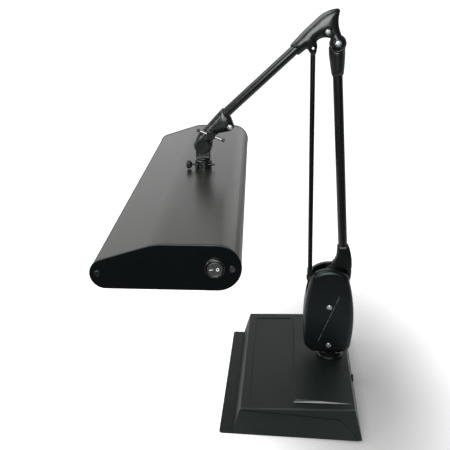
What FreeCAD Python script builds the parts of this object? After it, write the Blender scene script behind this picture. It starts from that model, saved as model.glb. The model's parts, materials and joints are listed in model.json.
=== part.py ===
import FreeCAD, Part
import math
import os
import Sketcher
from types import SimpleNamespace
from FreeCAD import Placement, Rotation, Vector

# Desk and piano lamp with a weighted base, a spring-balanced parallel arm and a
# long shade. Millimetres and degrees. +Z is up, +X points to the back of the
# base, +Y runs along its width. The origin is on the swivel axis, at the table.

driving = {
    # base
    "matThick": 1.2, "matInset": 5.0,
    "baseShift": 5.2, "plateFront": 172.0, "plateBack": 41.0, "plateHalf": 146.4, "plateThick": 3.0,
    "plateCorner": 4.0,
    "coverFront": 152.0, "coverBack": 43.0, "coverHalf": 148.8,
    "topFront": 140.5, "topBack": 29.5, "topHalf": 142.6,
    "topFrontHeight": 46.6, "topBackHeight": 54.6, "coverWall": 3.0, "coverEdge": 2.0,
    "deckHeight": 55.0, "deckFront": 61.0, "deckHalfFront": 127.5, "deckHalfBack": 132.5,
    "deckInset": 0.5, "deckDraft": 35.0,
    "padFront": 128.0, "padBack": 65.0, "padHalf": 128.0, "padDepth": 0.8,
    "panelProud": 0.9, "panelLow": 36.6, "panelHigh": 43.8, "panelReach": 9.4,
    "panelFoot": 38.0,
    "weightFront": 122.0, "weightBack": 20.0, "weightHalf": 108.0, "weightHeight": 22.0,
    "weightScrewInset": 24.0, "weightScrewRadius": 2.5,
    "bossRadius": 5.0, "bossInset": 14.0, "coverScrewRadius": 1.9, "screwLength": 16.0,
    "flangeRadius": 34.0, "flangeThick": 5.0, "socketRadius": 14.0, "socketRise": 2.6,
    "socketScrewCircle": 26.0, "socketScrewRadius": 2.0,
    "ringRadius": 21.7, "ringRise": 5.0, "bushRadius": 9.0, "bushFlange": 12.5,
    "inletSide": 33.0, "inletHeight": 31.0, "inletRadius": 6.5, "inletBore": 3.4,
    "inletReach": 2.6, "inletLength": 14.0,
    # swivel and spring housing
    "postRadius": 6.35, "postBottom": 12.5, "clampRadius": 16.0, "clampHeight": 8.0,
    "clampSlit": 2.0, "clampEar": 4.5, "clampEarReach": 21.0, "clampScrewRadius": 2.0,
    "housingHalf": 22.5, "housingWall": 2.5, "housingEdge": 8.0,
    "housingLeftTop": 37.1, "housingLeftRise": 4.2, "housingLeftRound": 340.0,
    "housingRightTop": 19.2, "housingRightRise": 6.8, "housingTopRound": 43.0,
    "housingRightBottom": 29.7, "housingFootRise": 2.6, "housingRightRound": 281.0,
    "housingLeftBottom": 42.0, "housingFootGap": 0.5,
    "housingCornerTop": 14.0, "housingCornerFront": 20.0, "housingCornerBack": 13.0,
    "slotHalf": 9.5, "slotDrop": 33.0,
    "upperScrewBack": 6.8, "upperScrewDrop": 48.3,
    "lowerScrewBack": 4.4, "lowerScrewRise": 10.3,
    "housingScrewHead": 4.4, "housingScrewRadius": 1.9,
    "frameHalf": 17.0, "frameSheet": 1.8, "frameWeb": 5.0,
    "frameEye": 9.0, "frameWidth": 18.0, "frameShoulder": 34.0,
    "pivotRadius": 4.0, "pivotHead": 6.4, "pivotHeadThick": 2.4, "spacerRadius": 6.8,
    "anchorRise": 13.3, "anchorRadius": 2.2,
    "springLever": 16.0, "springRadius": 4.2, "springWire": 1.4, "springTurns": 15.0,
    "springHook": 20.0,
    "springSide": 8.2, "studEnd": 9.2, "cheekHalf": 7.2,
    # lower arm, measured from the main pivot along and across the arm
    "mainPivotFront": 5.0, "mainPivotHeight": 203.0, "lowerLean": 5.34,
    "lowerTubeRadius": 7.0, "tubeWall": 1.5, "lowerTubeOffset": 19.0,
    "lowerLength": 358.7, "elbowOffset": 1.5,
    "bootHalf": 8.4, "bootTop": 51.4, "bootWidth": 16.9, "bootCheek": 12.0, "bootSlot": 4.5,
    "bootSkirt": 31.2, "bootSkirtDrop": 10.1, "bootSkirtThick": 9.5, "bootEdge": 2.5,
    "bootHeel": 4.3, "bootHeelHeight": 18.4,
    "clevisTip": 45.5, "clevisRadius": 8.7, "clevisTopRadius": 11.6, "tongueHalf": 5.0,
    "tongueRadius": 12.0,
    # crank and tie rod of the parallel linkage
    "crankHalf": 2.0, "crankHub": 9.0, "crankHubHalf": 4.2, "crankPin": 2.5, "crankWidth": 4.2,
    "rodRadius": 3.6, "rodBore": 2.2, "forkHalf": 4.4, "forkRadius": 5.6, "forkSlot": 9.0,
    "forkLength": 15.0,
    "eyeHalf": 2.4, "eyeRadius": 4.6, "eyeLength": 10.5,
    # upper arm, measured from the elbow along and above the arm
    "upperDrop": 43.24, "upperTubeRadius": 7.2, "sleeveWall": 1.8, "upperTubeRise": 34.2,
    "rodLugAlong": 29.1, "rodLugRise": 19.1, "rodPin": 1.8,
    "bracketHalf": 9.5, "bracketEnd": 51.4, "bracketDisc": 11.2, "bracketDiscHalf": 10.5,
    "bracketEdge": 5.0, "bracketHollow": 17.0, "bracketRoof": 12.0,
    "finCrest": 45.5, "finCrestRound": 380.0,
    "finTip": 35.2, "finTipBack": 30.6, "finTipRound": 43.0, "finTipWidth": 3.6,
    "finThroat": 9.5, "finThroatBack": 12.4, "finThroatRound": 42.0,
    "elbowPin": 3.5, "elbowHead": 4.6, "elbowScrewHead": 4.4, "elbowScrewRise": 21.4,
    "upperLength": 242.8, "wristRise": 22.2, "wristSleeve": 60.5, "wristHalf": 9.5,
    "cheekRadius": 14.0, "wristSlot": 5.5, "wristSlit": 1.6, "wristEdge": 4.0,
    "lugScrewAlong": 50.1, "lugScrewDrop": 6.9, "lugScrewHead": 4.0,
    "tiltPin": 4.0, "tiltCap": 11.4, "tiltCapThick": 2.8,
    "knobAlong": 22.2, "knobRise": 4.0, "knobRadius": 7.0, "knobHeight": 8.4,
    "knobShank": 3.0, "handleRadius": 2.0, "handleReach": 22.0, "handleEnd": 2.4,
    "handleAngle": 21.0,
    # head
    "knuckleRadius": 13.0, "knuckleHalf": 5.2, "neckHalf": 10.8, "neckTop": 19.0,
    "neckFlange": 11.0, "neckThick": 3.1, "spigotRadius": 6.0, "spigotPast": 3.0,
    "clipThick": 1.4,
    "headCollar": 12.9, "headCollarSleeve": 8.5, "headNut": 11.0, "headNutThick": 3.4,
    "pinchSide": 8.8, "pinchHeight": 7.0, "pinchRadius": 1.6, "pinchKnob": 6.4,
    "pinchKnobThick": 8.3, "pinchLeft": 25.0, "pinchRight": 18.0, "collarSlit": 0.6,
    "collarHeight": 13.2, "shadeDepth": 55.2, "shadeNear": 301.4, "shadeFar": 292.8,
    "shadeYaw": 2.72, "shadeWall": 1.8, "noseAcross": 88.7, "noseRadius": 17.8,
    "backAcross": 37.2, "crownSlope": 18.0, "crownRun": 10.0, "capThick": 4.0,
    "capProud": 0.5, "capEdge": 1.2, "windowFront": 69.0, "windowBack": 29.0,
    "windowEnd": 12.0, "diffuserThick": 2.5, "diffuserLap": 6.0,
    "ribFront": 34.0, "ribFrontDrop": 1.5, "ribBack": 25.0, "ribDepth": 16.5, "ribThick": 2.5,
    "ledPlateHalf": 44.0, "ledPlateThick": 2.5, "ledPlateEnd": 20.0, "stripHalf": 9.0,
    "stripSide": 24.0, "stripThick": 1.6,
    "driverNear": 236.0, "driverLength": 150.0, "driverHalf": 19.0, "driverHeight": 13.0,
    "portFront": 97.6, "portFrontDrop": 36.5, "portBack": 54.6, "portBackDrop": 28.0,
    "portRadius": 4.2, "portWeb": 1.2, "grooveRadius": 0.5,
    "capScrewRadius": 1.7, "capScrewHead": 3.6, "capScrewLength": 14.0,
    "switchAcross": 35.0, "switchDrop": 27.0, "switchRadius": 11.9, "switchProud": 3.0,
    "switchBody": 10.0, "switchDepth": 20.0, "rockerRadius": 9.0, "rockerTilt": 8.0,
    "rockerDeep": 7.0, "rockerAxle": 1.1, "axleReach": 9.8,
    # clearances
    "runFit": 0.05, "gap": 0.3,
}

doc = FreeCAD.newDocument("PianoLamp")
sheet = doc.addObject("Spreadsheet::Sheet", "Sizes")


class Size:
    """A number together with the sheet expression that gives it."""

    def __init__(self, value, text):
        self.value = value
        self.text = text

    def __add__(self, other):
        return Size(self.value + number(other), f"({self.text} + {words(other)})")

    def __radd__(self, other):
        return Size(number(other) + self.value, f"({words(other)} + {self.text})")

    def __sub__(self, other):
        return Size(self.value - number(other), f"({self.text} - {words(other)})")

    def __rsub__(self, other):
        return Size(number(other) - self.value, f"({words(other)} - {self.text})")

    def __mul__(self, other):
        return Size(self.value * number(other), f"({self.text} * {words(other)})")

    def __rmul__(self, other):
        return self * other

    def __truediv__(self, other):
        return Size(self.value / number(other), f"({self.text} / {words(other)})")

    def __neg__(self):
        return Size(-self.value, f"(0 - {self.text})")


def number(item):
    return item.value if isinstance(item, Size) else float(item)


def words(item):
    return item.text if isinstance(item, Size) else f"({float(item):.6f})"


def sine(angle):
    return Size(math.sin(math.radians(angle.value)), f"sin({angle.text})")


def cosine(angle):
    return Size(math.cos(math.radians(angle.value)), f"cos({angle.text})")


def root(item):
    return Size(math.sqrt(item.value), f"sqrt({item.text})")


def fill_sheet():
    """Writes each driving size into the sheet as a plain number with an alias."""
    entries = {}
    for row, (name, value) in enumerate(driving.items(), start=1):
        sheet.set(f"A{row}", name)
        sheet.set(f"B{row}", str(value))
        sheet.setAlias(f"B{row}", name)
        entries[name] = Size(float(value), f"Sizes.{name}")
    doc.recompute()
    return SimpleNamespace(**entries)


dim = fill_sheet()
subparts = []
cuts = []


def bind(item, path, size):
    """Ties one property to the sheet, or leaves it as the plain number it is."""
    if isinstance(size, Size):
        item.setExpression(path, size.text)


# ---------------------------------------------------------------- sketches

def line_to(x, y):
    return ("line", x, y, None)


def bend_to(x, y, radius):
    """An arc that turns left on its way to the point."""
    return ("left", x, y, radius)


def dent_to(x, y, radius):
    """An arc that turns right on its way to the point."""
    return ("right", x, y, radius)


def circle(x, y, radius):
    return ("circle", x, y, radius)


def rectangle(x0, y0, x1, y1):
    return [line_to(x0, y0), line_to(x1, y0), line_to(x1, y1), line_to(x0, y1)]


def arc_edge(start, end, radius, side):
    """The arc from start to end, and which of its ends lies at start."""
    chord = end - start
    middle = (start + end) * 0.5
    rise = math.sqrt(max(radius ** 2 - (chord.Length / 2) ** 2, 0))
    normal = Vector(-chord.y, chord.x, 0).normalize()
    centre = middle + normal * (rise if side == "left" else -rise)
    first, last = (start, end) if side == "left" else (end, start)
    from_angle = math.atan2(first.y - centre.y, first.x - centre.x)
    to_angle = math.atan2(last.y - centre.y, last.x - centre.x)
    edge = Part.ArcOfCircle(Part.Circle(centre, Vector(0, 0, 1), radius), from_angle, to_angle)
    return edge, (1 if side == "left" else 2)


def fix(sketch, kind, *args):
    """Adds one dimension, whose last argument is a size or a number."""
    size = args[-1]
    index = sketch.addConstraint(Sketcher.Constraint(kind, *args[:-1], number(size)))
    bind(sketch, f"Constraints[{index}]", size)


def draw_circle(sketch, x, y, radius):
    shape = Part.Circle(Vector(number(x), number(y), 0), Vector(0, 0, 1), number(radius))
    index = sketch.addGeometry(shape, False)
    fix(sketch, "Radius", index, radius)
    fix(sketch, "DistanceX", -1, 1, index, 3, x)
    fix(sketch, "DistanceY", -1, 1, index, 3, y)


def draw_outline(sketch, steps):
    """Draws a closed outline. Each step says how the outline reaches its point."""
    points = [Vector(number(x), number(y), 0) for _, x, y, _ in steps]
    made = []
    for place, (kind, _, _, radius) in enumerate(steps):
        start = points[place - 1]
        end = points[place]
        if kind == "line":
            edge, begin = Part.LineSegment(start, end), 1
        else:
            edge, begin = arc_edge(start, end, number(radius), kind)
        index = sketch.addGeometry(edge, False)
        made.append((index, begin, 3 - begin))
    for place, (index, begin, finish) in enumerate(made):
        after = made[(place + 1) % len(made)]
        sketch.addConstraint(Sketcher.Constraint("Coincident", index, finish, after[0], after[1]))
    for place, (index, begin, finish) in enumerate(made):
        kind, x, y, radius = steps[place]
        fix(sketch, "DistanceX", -1, 1, index, finish, x)
        fix(sketch, "DistanceY", -1, 1, index, finish, y)
        if kind != "line":
            fix(sketch, "Radius", index, radius)


def new_sketch(body, plane, offset, shapes):
    """A sketch on one of the body's own planes, moved along that plane's normal."""
    sketch = body.newObject("Sketcher::SketchObject", body.Name + "_outline")
    planes = [item for item in body.Origin.OriginFeatures if item.Role == plane + "_Plane"]
    sketch.AttachmentSupport = [(planes[0], "")]
    sketch.MapMode = "FlatFace"
    sketch.AttachmentOffset = Placement(Vector(0, 0, number(offset)), Rotation())
    bind(sketch, "AttachmentOffset.Base.z", offset)
    for shape in shapes:
        if isinstance(shape, tuple):
            draw_circle(sketch, shape[1], shape[2], shape[3])
        else:
            draw_outline(sketch, shape)
    return sketch


# ---------------------------------------------------------------- features

def new_body(name):
    body = doc.addObject("PartDesign::Body", name)
    body.Label = name
    return body


def extrude(body, kind, plane, low, high, shapes):
    """A pad or pocket between two places on the axis across the plane."""
    facing = -1 if plane == "XZ" else 1
    from_low = (kind == "Pad") == (facing == 1)
    start = low if from_low else high
    sketch = new_sketch(body, plane, start * facing, shapes)
    feature = body.newObject("PartDesign::" + kind, body.Name + "_" + kind.lower())
    feature.Profile = sketch
    length = high - low
    feature.Length = number(length)
    bind(feature, "Length", length)
    sketch.Visibility = False
    if kind == "Pocket":
        cuts.append(feature)
    return feature


def pad(body, plane, low, high, *shapes):
    return extrude(body, "Pad", plane, low, high, shapes)


def pocket(body, plane, low, high, *shapes):
    return extrude(body, "Pocket", plane, low, high, shapes)


def revolve(body, steps):
    """Turns an outline of (radius, height) round the body's own Z axis."""
    sketch = new_sketch(body, "XZ", Size(0.0, "0"), [steps])
    feature = body.newObject("PartDesign::Revolution", body.Name + "_turned")
    feature.Profile = sketch
    feature.ReferenceAxis = (sketch, ["V_Axis"])
    feature.Angle = 360
    sketch.Visibility = False
    return feature


def fillet(body, radius, wanted, kind="Fillet"):
    """Rounds or chamfers the edges for which wanted(edge) is true."""
    doc.recompute()
    tip = body.Tip
    names = [f"Edge{place}" for place, edge in enumerate(tip.Shape.Edges, start=1) if wanted(edge)]
    feature = body.newObject("PartDesign::" + kind, body.Name + "_edge")
    feature.Base = (tip, names)
    if kind == "Fillet":
        feature.Radius = number(radius)
        bind(feature, "Radius", radius)
    else:
        feature.Size = number(radius)
        bind(feature, "Size", radius)
    return feature


def place(item, x, y, z, axis=None, angle=None):
    """Puts a finished body at its place, turned by a positive angle about axis."""
    turn = Rotation(Vector(*axis), number(angle)) if axis else Rotation()
    item.Placement = Placement(Vector(number(x), number(y), number(z)), turn)
    bind(item, "Placement.Base.x", x)
    bind(item, "Placement.Base.y", y)
    bind(item, "Placement.Base.z", z)
    if axis and isinstance(angle, Size):
        bind(item, "Placement.Rotation.Angle", angle)


def done(item):
    subparts.append(item)
    return item


def group(name, members):
    """One named sub-part that holds several equal pieces."""
    item = doc.addObject("Part::Compound", name)
    item.Label = name
    item.Links = members
    return done(item)


def turned(name, steps, x, y, z, towards="up"):
    """A round piece. Its own Z axis is set upwards, towards the front (-Y) or to +X."""
    body = new_body(name)
    revolve(body, steps)
    turns = {"up": (None, None), "front": ((1, 0, 0), 90), "right": ((0, 1, 0), 90)}
    axis, angle = turns[towards]
    place(body, x, y, z, axis, angle)
    return body


def tube_steps(inner, outer, low, high):
    return rectangle(inner, low, outer, high)


def rod_steps(radius, low, high):
    return rectangle(0, low, radius, high)


def screw_steps(head, head_low, head_high, shank, end):
    """Head between two heights, and a shank that runs down to end."""
    return [line_to(0, end), line_to(shank, end), line_to(shank, head_low),
            line_to(head, head_low), line_to(head, head_high), line_to(0, head_high)]


def bar(x0, z0, x1, z1, half):
    """A straight bar between two points, half its width each side."""
    run = root((x1 - x0) * (x1 - x0) + (z1 - z0) * (z1 - z0))
    across = (z1 - z0) / run * half
    along = (x1 - x0) / run * half
    return [line_to(x0 + across, z0 - along), line_to(x1 + across, z1 - along),
            line_to(x1 - across, z1 + along), line_to(x0 - across, z0 + along)]


# ---------------------------------------------------------------- shared places

zero = Size(0.0, "0")
plate_bottom = dim.matThick
plate_top = dim.matThick + dim.plateThick
socket_top = dim.deckHeight + dim.socketRise
ring_top = dim.deckHeight + dim.ringRise
main_x = -dim.mainPivotFront
main_z = dim.mainPivotHeight


def lower_place(across, along):
    """A place in the lower arm's own directions, seen from the side."""
    lean = dim.lowerLean
    x = main_x + across * cosine(lean) - along * sine(lean)
    z = main_z + across * sine(lean) + along * cosine(lean)
    return x, z


elbow_across = dim.lowerTubeOffset + dim.elbowOffset
elbow_x, elbow_z = lower_place(elbow_across, dim.lowerLength)


def upper_shift(rise, along):
    """A step in the upper arm's own directions, seen from the side."""
    drop = dim.upperDrop
    x = -rise * sine(drop) - along * cosine(drop)
    z = rise * cosine(drop) - along * sine(drop)
    return x, z


def upper_place(rise, along):
    x, z = upper_shift(rise, along)
    return elbow_x + x, elbow_z + z


wrist_x, wrist_z = upper_place(dim.wristRise, dim.upperLength)
rod_step_x, rod_step_z = upper_shift(dim.rodLugRise, dim.rodLugAlong)
crank_x = main_x + rod_step_x
crank_z = main_z + rod_step_z
shade_top = wrist_z - dim.neckTop - dim.neckThick - dim.gap - dim.collarHeight
lug_x = elbow_x + rod_step_x
lug_z = elbow_z + rod_step_z


def on_lower(body):
    """The body's own Z runs up the lower arm and its X points to the back."""
    place(body, main_x, zero, main_z, (0, -1, 0), dim.lowerLean)
    return done(body)


def on_upper(body, x, z):
    """The body's own Z runs out along the upper arm and its X points above it."""
    place(body, x, zero, z, (0, -1, 0), dim.upperDrop + 90)
    return done(body)


# ---------------------------------------------------------------- base

cover_slope = (dim.topBackHeight - dim.topFrontHeight) / (dim.topFront + dim.topBack)


def top_height(x):
    """Height of the cover's sloping top at a place along X."""
    return dim.topFrontHeight + (x + dim.topFront) * cover_slope


def on_base(body, x=None, z=None):
    """Pieces of the base are drawn about its own middle, nearer than the swivel axis."""
    place(body, x or zero, -dim.baseShift, z or zero)
    return done(body)


def cover_screw_places():
    back = dim.topBack - dim.bossInset
    front = -dim.topFront + dim.bossInset
    side = dim.topHalf - dim.bossInset
    return [(x, y) for x in (front, back) for y in (-side, side)]


def socket_screw_places():
    reach = dim.socketScrewCircle * 0.707107
    return [(reach * i, reach * j) for i in (-1, 1) for j in (-1, 1)]


def make_mat():
    body = new_body("rubber_mat")
    pad(body, "XY", zero, dim.matThick,
        rectangle(-dim.plateFront + dim.matInset, -dim.plateHalf + dim.matInset,
                  dim.plateBack - dim.matInset, dim.plateHalf - dim.matInset))
    on_base(body)


def make_plate():
    body = new_body("base_plate")
    pad(body, "XY", plate_bottom, plate_top,
        rectangle(-dim.plateFront, -dim.plateHalf, dim.plateBack, dim.plateHalf))
    fillet(body, dim.plateCorner, lambda edge: along_z(edge))
    holes = [circle(x, y, dim.coverScrewRadius + dim.runFit) for x, y in cover_screw_places()]
    holes += [circle(x, y + dim.baseShift, dim.socketScrewRadius + dim.runFit)
              for x, y in socket_screw_places()]
    holes += [circle(x, y, dim.weightScrewRadius + dim.runFit) for x, y in weight_screw_places()]
    pocket(body, "XY", plate_bottom - 1, plate_top + 1, *holes)
    heads = [circle(x, y, dim.coverScrewRadius * 2 + dim.runFit) for x, y in cover_screw_places()]
    heads += [circle(x, y, dim.weightScrewRadius * 1.8 + dim.runFit)
              for x, y in weight_screw_places()]
    pocket(body, "XY", plate_bottom - 1, plate_bottom + dim.plateThick / 2, *heads)
    on_base(body)


def along_z(edge):
    if len(edge.Vertexes) < 2:
        return False
    step = edge.Vertexes[1].Point - edge.Vertexes[0].Point
    return abs(step.x) < 1e-6 and abs(step.y) < 1e-6


def taper_cut(body, proud):
    """Trims both ends of the cover to their slope, leaving them proud by a step."""
    rise = dim.deckHeight - plate_top
    slope = (dim.coverHalf - dim.topHalf) / rise
    top = dim.deckHeight + 10
    foot = dim.coverHalf + proud
    head = foot - slope * (top - plate_top)
    outside = dim.coverHalf + dim.topHalf
    low = plate_top - 1
    base = foot + slope
    far = [line_to(base, low), line_to(outside, low), line_to(outside, top), line_to(head, top)]
    near = [line_to(-base, low), line_to(-head, top), line_to(-outside, top), line_to(-outside, low)]
    pocket(body, "YZ", -dim.coverFront - 5, dim.coverBack + 5, far, near)


def make_cover():
    body = new_body("base_cover")
    side = [line_to(-dim.coverFront, plate_top), line_to(dim.coverBack, plate_top),
            line_to(dim.topBack, dim.topBackHeight), line_to(-dim.topFront, dim.topFrontHeight)]
    widest = (dim.coverHalf + dim.topHalf) / 2 + dim.coverWall
    pad(body, "XZ", -widest, widest, side)
    taper_cut(body, zero)
    # level deck that carries the arm, sloping down on all sides to the cover's top
    deck_back = dim.topBack - dim.deckInset
    deck = pad(body, "XY", top_height(-dim.deckFront), dim.deckHeight,
               [line_to(-dim.deckFront, -dim.deckHalfFront), line_to(deck_back, -dim.deckHalfBack),
                line_to(deck_back, dim.deckHalfBack), line_to(-dim.deckFront, dim.deckHalfFront)])
    deck.TaperAngle = -number(dim.deckDraft)
    bind(deck, "TaperAngle", -dim.deckDraft)
    # shallow tray on the front half of the top
    pocket(body, "XZ", -dim.padHalf, dim.padHalf,
           [line_to(-dim.padFront, top_height(-dim.padFront) - dim.padDepth),
            line_to(-dim.padBack, top_height(-dim.padBack) - dim.padDepth),
            line_to(-dim.padBack, dim.deckHeight + 2), line_to(-dim.padFront, dim.deckHeight + 2)])
    # raised lower panel on both ends
    panel = [line_to(-dim.coverFront, plate_top), line_to(dim.panelFoot, plate_top),
             line_to(dim.panelReach, dim.panelLow), line_to(-dim.topFront, dim.panelHigh)]
    inside = dim.topHalf - dim.coverWall
    pad(body, "XZ", -widest - dim.panelProud, -inside, panel)
    pad(body, "XZ", inside, widest + dim.panelProud, panel)
    taper_cut(body, dim.panelProud)
    # hollow underside with four screw bosses
    wall = dim.coverWall
    pocket(body, "XZ", -inside, inside,
           [line_to(-dim.coverFront + wall * 1.3, plate_top - 1),
            line_to(dim.coverBack - wall * 1.3, plate_top - 1),
            line_to(dim.topBack - wall, dim.topBackHeight - wall),
            line_to(-dim.topFront + wall, dim.topFrontHeight - wall - dim.padDepth)])
    for x, y in cover_screw_places():
        pad(body, "XY", plate_top, top_height(x) - wall / 2, circle(x, y, dim.bossRadius))
    holes = [circle(x, y, dim.coverScrewRadius + dim.runFit) for x, y in cover_screw_places()]
    pocket(body, "XY", plate_top - 1, plate_top + dim.screwLength, *holes)
    pocket(body, "XY", dim.topFrontHeight - 8, dim.deckHeight + 1,
           circle(zero, dim.baseShift, dim.socketRadius + dim.gap))
    fillet(body, dim.coverEdge, lambda edge: is_cover_edge(edge))
    # hole for the power inlet in the back wall
    pocket(body, "YZ", dim.topBack - wall * 2, dim.coverBack + 1,
           circle(dim.baseShift - dim.inletSide, dim.inletHeight, dim.inletRadius + dim.runFit))
    on_base(body)


def is_cover_edge(edge):
    """True for the long outer edges round the sloping top and the four sloping corners."""
    box = edge.BoundBox
    front = abs(box.XMin + number(dim.topFront)) < 0.01 and box.XLength < 0.01
    long = box.YLength > number(dim.topHalf)
    outer = box.YMax > number(dim.topHalf) - 1
    return front and long and outer


def make_cover_screws():
    members = []
    for place_number, (x, y) in enumerate(cover_screw_places(), start=1):
        body = turned(f"cover_screw_{place_number}",
                      screw_steps(dim.coverScrewRadius * 2, zero - dim.plateThick / 2, zero,
                                  dim.coverScrewRadius, -dim.screwLength),
                      x, y - dim.baseShift, plate_bottom)
        body.Placement = Placement(body.Placement.Base, Rotation(Vector(1, 0, 0), 180))
        members.append(body)
    group("cover_screws", members)


def make_weight():
    body = new_body("base_weight")
    top = plate_top + dim.weightHeight
    pad(body, "XY", plate_top, top,
        rectangle(-dim.weightFront, -dim.weightHalf, dim.weightBack, dim.weightHalf))
    pocket(body, "XY", plate_top - 1, top + 1,
           circle(zero, dim.baseShift, dim.flangeRadius + dim.gap))
    holes = [circle(x, y, dim.weightScrewRadius + dim.runFit) for x, y in weight_screw_places()]
    pocket(body, "XY", plate_top - 1, plate_top + dim.screwLength, *holes)
    on_base(body)


def weight_screw_places():
    x = -dim.weightFront + dim.weightScrewInset
    y = dim.weightHalf - dim.weightScrewInset
    return [(x, -y), (x, y)]


def make_weight_screws():
    """Screws that hold the weight to the plate, put in from below."""
    radius = dim.weightScrewRadius
    members = []
    for place_number, (x, y) in enumerate(weight_screw_places(), start=1):
        steps = screw_steps(radius * 1.8, zero - dim.plateThick / 2, zero, radius,
                            -dim.screwLength)
        body = turned(f"weight_screw_{place_number}", steps, x, y - dim.baseShift, plate_bottom)
        body.Placement = Placement(body.Placement.Base, Rotation(Vector(1, 0, 0), 180))
        members.append(body)
    group("weight_screws", members)


def make_socket():
    body = new_body("post_socket")
    flange_top = plate_top + dim.flangeThick
    bore = dim.bushRadius + dim.runFit
    revolve(body, [line_to(bore, plate_top), line_to(dim.flangeRadius, plate_top),
                   line_to(dim.flangeRadius, flange_top), line_to(dim.socketRadius, flange_top),
                   line_to(dim.socketRadius, socket_top), line_to(bore, socket_top)])
    holes = [circle(x, y, dim.socketScrewRadius + dim.runFit) for x, y in socket_screw_places()]
    pocket(body, "XY", plate_top - 1, flange_top + 1, *holes)
    done(body)


def make_socket_screws():
    top = plate_top + dim.flangeThick
    radius = dim.socketScrewRadius
    members = []
    for place_number, (x, y) in enumerate(socket_screw_places(), start=1):
        steps = screw_steps(radius * 1.9, top, top + radius, radius, plate_bottom)
        members.append(turned(f"socket_screw_{place_number}", steps, x, y, zero))
    group("socket_screws", members)


def make_post_ring():
    inner = dim.socketRadius + dim.gap
    done(turned("post_ring",
                [line_to(inner, dim.deckHeight), line_to(dim.ringRadius, dim.deckHeight),
                 line_to(dim.ringRadius, ring_top - 2), line_to(dim.ringRadius - 2, ring_top),
                 line_to(inner, ring_top)], zero, zero, zero))


def make_bush():
    inner = dim.postRadius + dim.runFit
    low = dim.postBottom
    done(turned("post_bush",
                [line_to(inner, low), line_to(dim.bushRadius, low),
                 line_to(dim.bushRadius, socket_top), line_to(dim.bushFlange, socket_top),
                 line_to(dim.bushFlange, ring_top), line_to(inner, ring_top)],
                zero, zero, zero))


def make_inlet():
    wall_x = dim.coverBack - (dim.inletHeight - plate_top) * (
        (dim.coverBack - dim.topBack) / (dim.topBackHeight - plate_top))
    end = wall_x + dim.inletReach
    done(turned("power_inlet",
                tube_steps(dim.inletBore, dim.inletRadius, end - dim.inletLength, end),
                zero, -dim.inletSide, dim.inletHeight, "right"))


# ---------------------------------------------------------------- spring housing

clamp_low = ring_top + dim.gap
clamp_high = clamp_low + dim.clampHeight
clamp_middle = (clamp_low + clamp_high) / 2
clamp_screw_y = -(dim.postRadius + dim.clampRadius) / 2
housing_left_foot = clamp_high + dim.housingFootGap
housing_right_foot = housing_left_foot + dim.housingFootRise
housing_left_top = main_z + dim.housingLeftRise
housing_right_top = main_z + dim.housingRightRise
frame_bottom = housing_right_foot + dim.housingWall + dim.gap
frame_shoulder = frame_bottom + dim.frameShoulder
frame_web_top = frame_bottom + dim.frameWeb
anchor_z = frame_web_top + dim.anchorRise
upper_screw_z = main_z - dim.upperScrewDrop
lower_screw_z = frame_bottom + dim.lowerScrewRise
slot_bottom = main_z - dim.slotDrop
frame_inside = dim.frameHalf - dim.frameSheet
housing_inside = dim.housingHalf - dim.housingWall
anchor_x = main_x + dim.springLever


def make_post():
    done(turned("swivel_post", rod_steps(dim.postRadius, dim.postBottom, frame_web_top),
                zero, zero, zero))


def make_swivel_clamp():
    body = new_body("swivel_clamp")
    revolve(body, tube_steps(dim.postRadius + dim.runFit, dim.clampRadius, clamp_low, clamp_high))
    pad(body, "XY", clamp_low, clamp_high,
        rectangle(-dim.clampEar, -dim.clampEarReach, dim.clampEar * 1.4, -dim.clampRadius * 0.8))
    pocket(body, "XY", clamp_low - 1, clamp_high + 1,
           rectangle(dim.clampSlit * 0.3, -dim.clampEarReach - 1, dim.clampSlit * 1.3, -dim.postRadius / 2))
    pocket(body, "YZ", -dim.clampRadius - 1, dim.clampRadius + 1,
           circle(clamp_screw_y, clamp_middle, dim.clampScrewRadius + dim.runFit))
    done(body)
    head = dim.clampScrewRadius * 1.7
    reach = dim.clampRadius - dim.clampScrewRadius
    done(turned("swivel_clamp_screw",
                screw_steps(head, reach, reach + head, dim.clampScrewRadius, -reach / 2),
                zero, clamp_screw_y, clamp_middle, "right"))


def housing_outline(inset):
    """Egg-shaped side view of the housing, drawn smaller by an inset."""
    return [
        bend_to(-dim.housingLeftBottom + inset, housing_left_foot + inset,
                dim.housingLeftRound - inset),
        line_to(dim.housingRightBottom - inset, housing_right_foot + inset),
        bend_to(dim.housingRightTop - inset, housing_right_top - inset,
                dim.housingRightRound - inset),
        bend_to(-dim.housingLeftTop + inset, housing_left_top - inset,
                dim.housingTopRound - inset),
    ]


def near_point(edge, x, z):
    """True for an edge across the housing that passes close to the point (x, z)."""
    if len(edge.Vertexes) < 2:
        return False
    first, last = edge.Vertexes[0].Point, edge.Vertexes[1].Point
    across = abs(first.x - last.x) < 1e-6 and abs(first.z - last.z) < 1e-6
    return across and math.hypot(first.x - number(x), first.z - number(z)) < 0.01


def round_corners(body, inset):
    """Rounds the four corners of the housing's side view."""
    corners = [
        (-dim.housingLeftTop + inset, housing_left_top - inset, dim.housingCornerTop),
        (dim.housingRightTop - inset, housing_right_top - inset, dim.housingCornerTop),
        (-dim.housingLeftBottom + inset, housing_left_foot + inset,
         dim.housingCornerFront),
        (dim.housingRightBottom - inset, housing_right_foot + inset,
         dim.housingCornerBack)]
    for x, z, radius in corners:
        fillet(body, radius - inset, lambda edge: near_point(edge, x, z))


def housing_screw_places():
    return [(-dim.upperScrewBack, upper_screw_z), (-dim.lowerScrewBack, lower_screw_z)]


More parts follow.
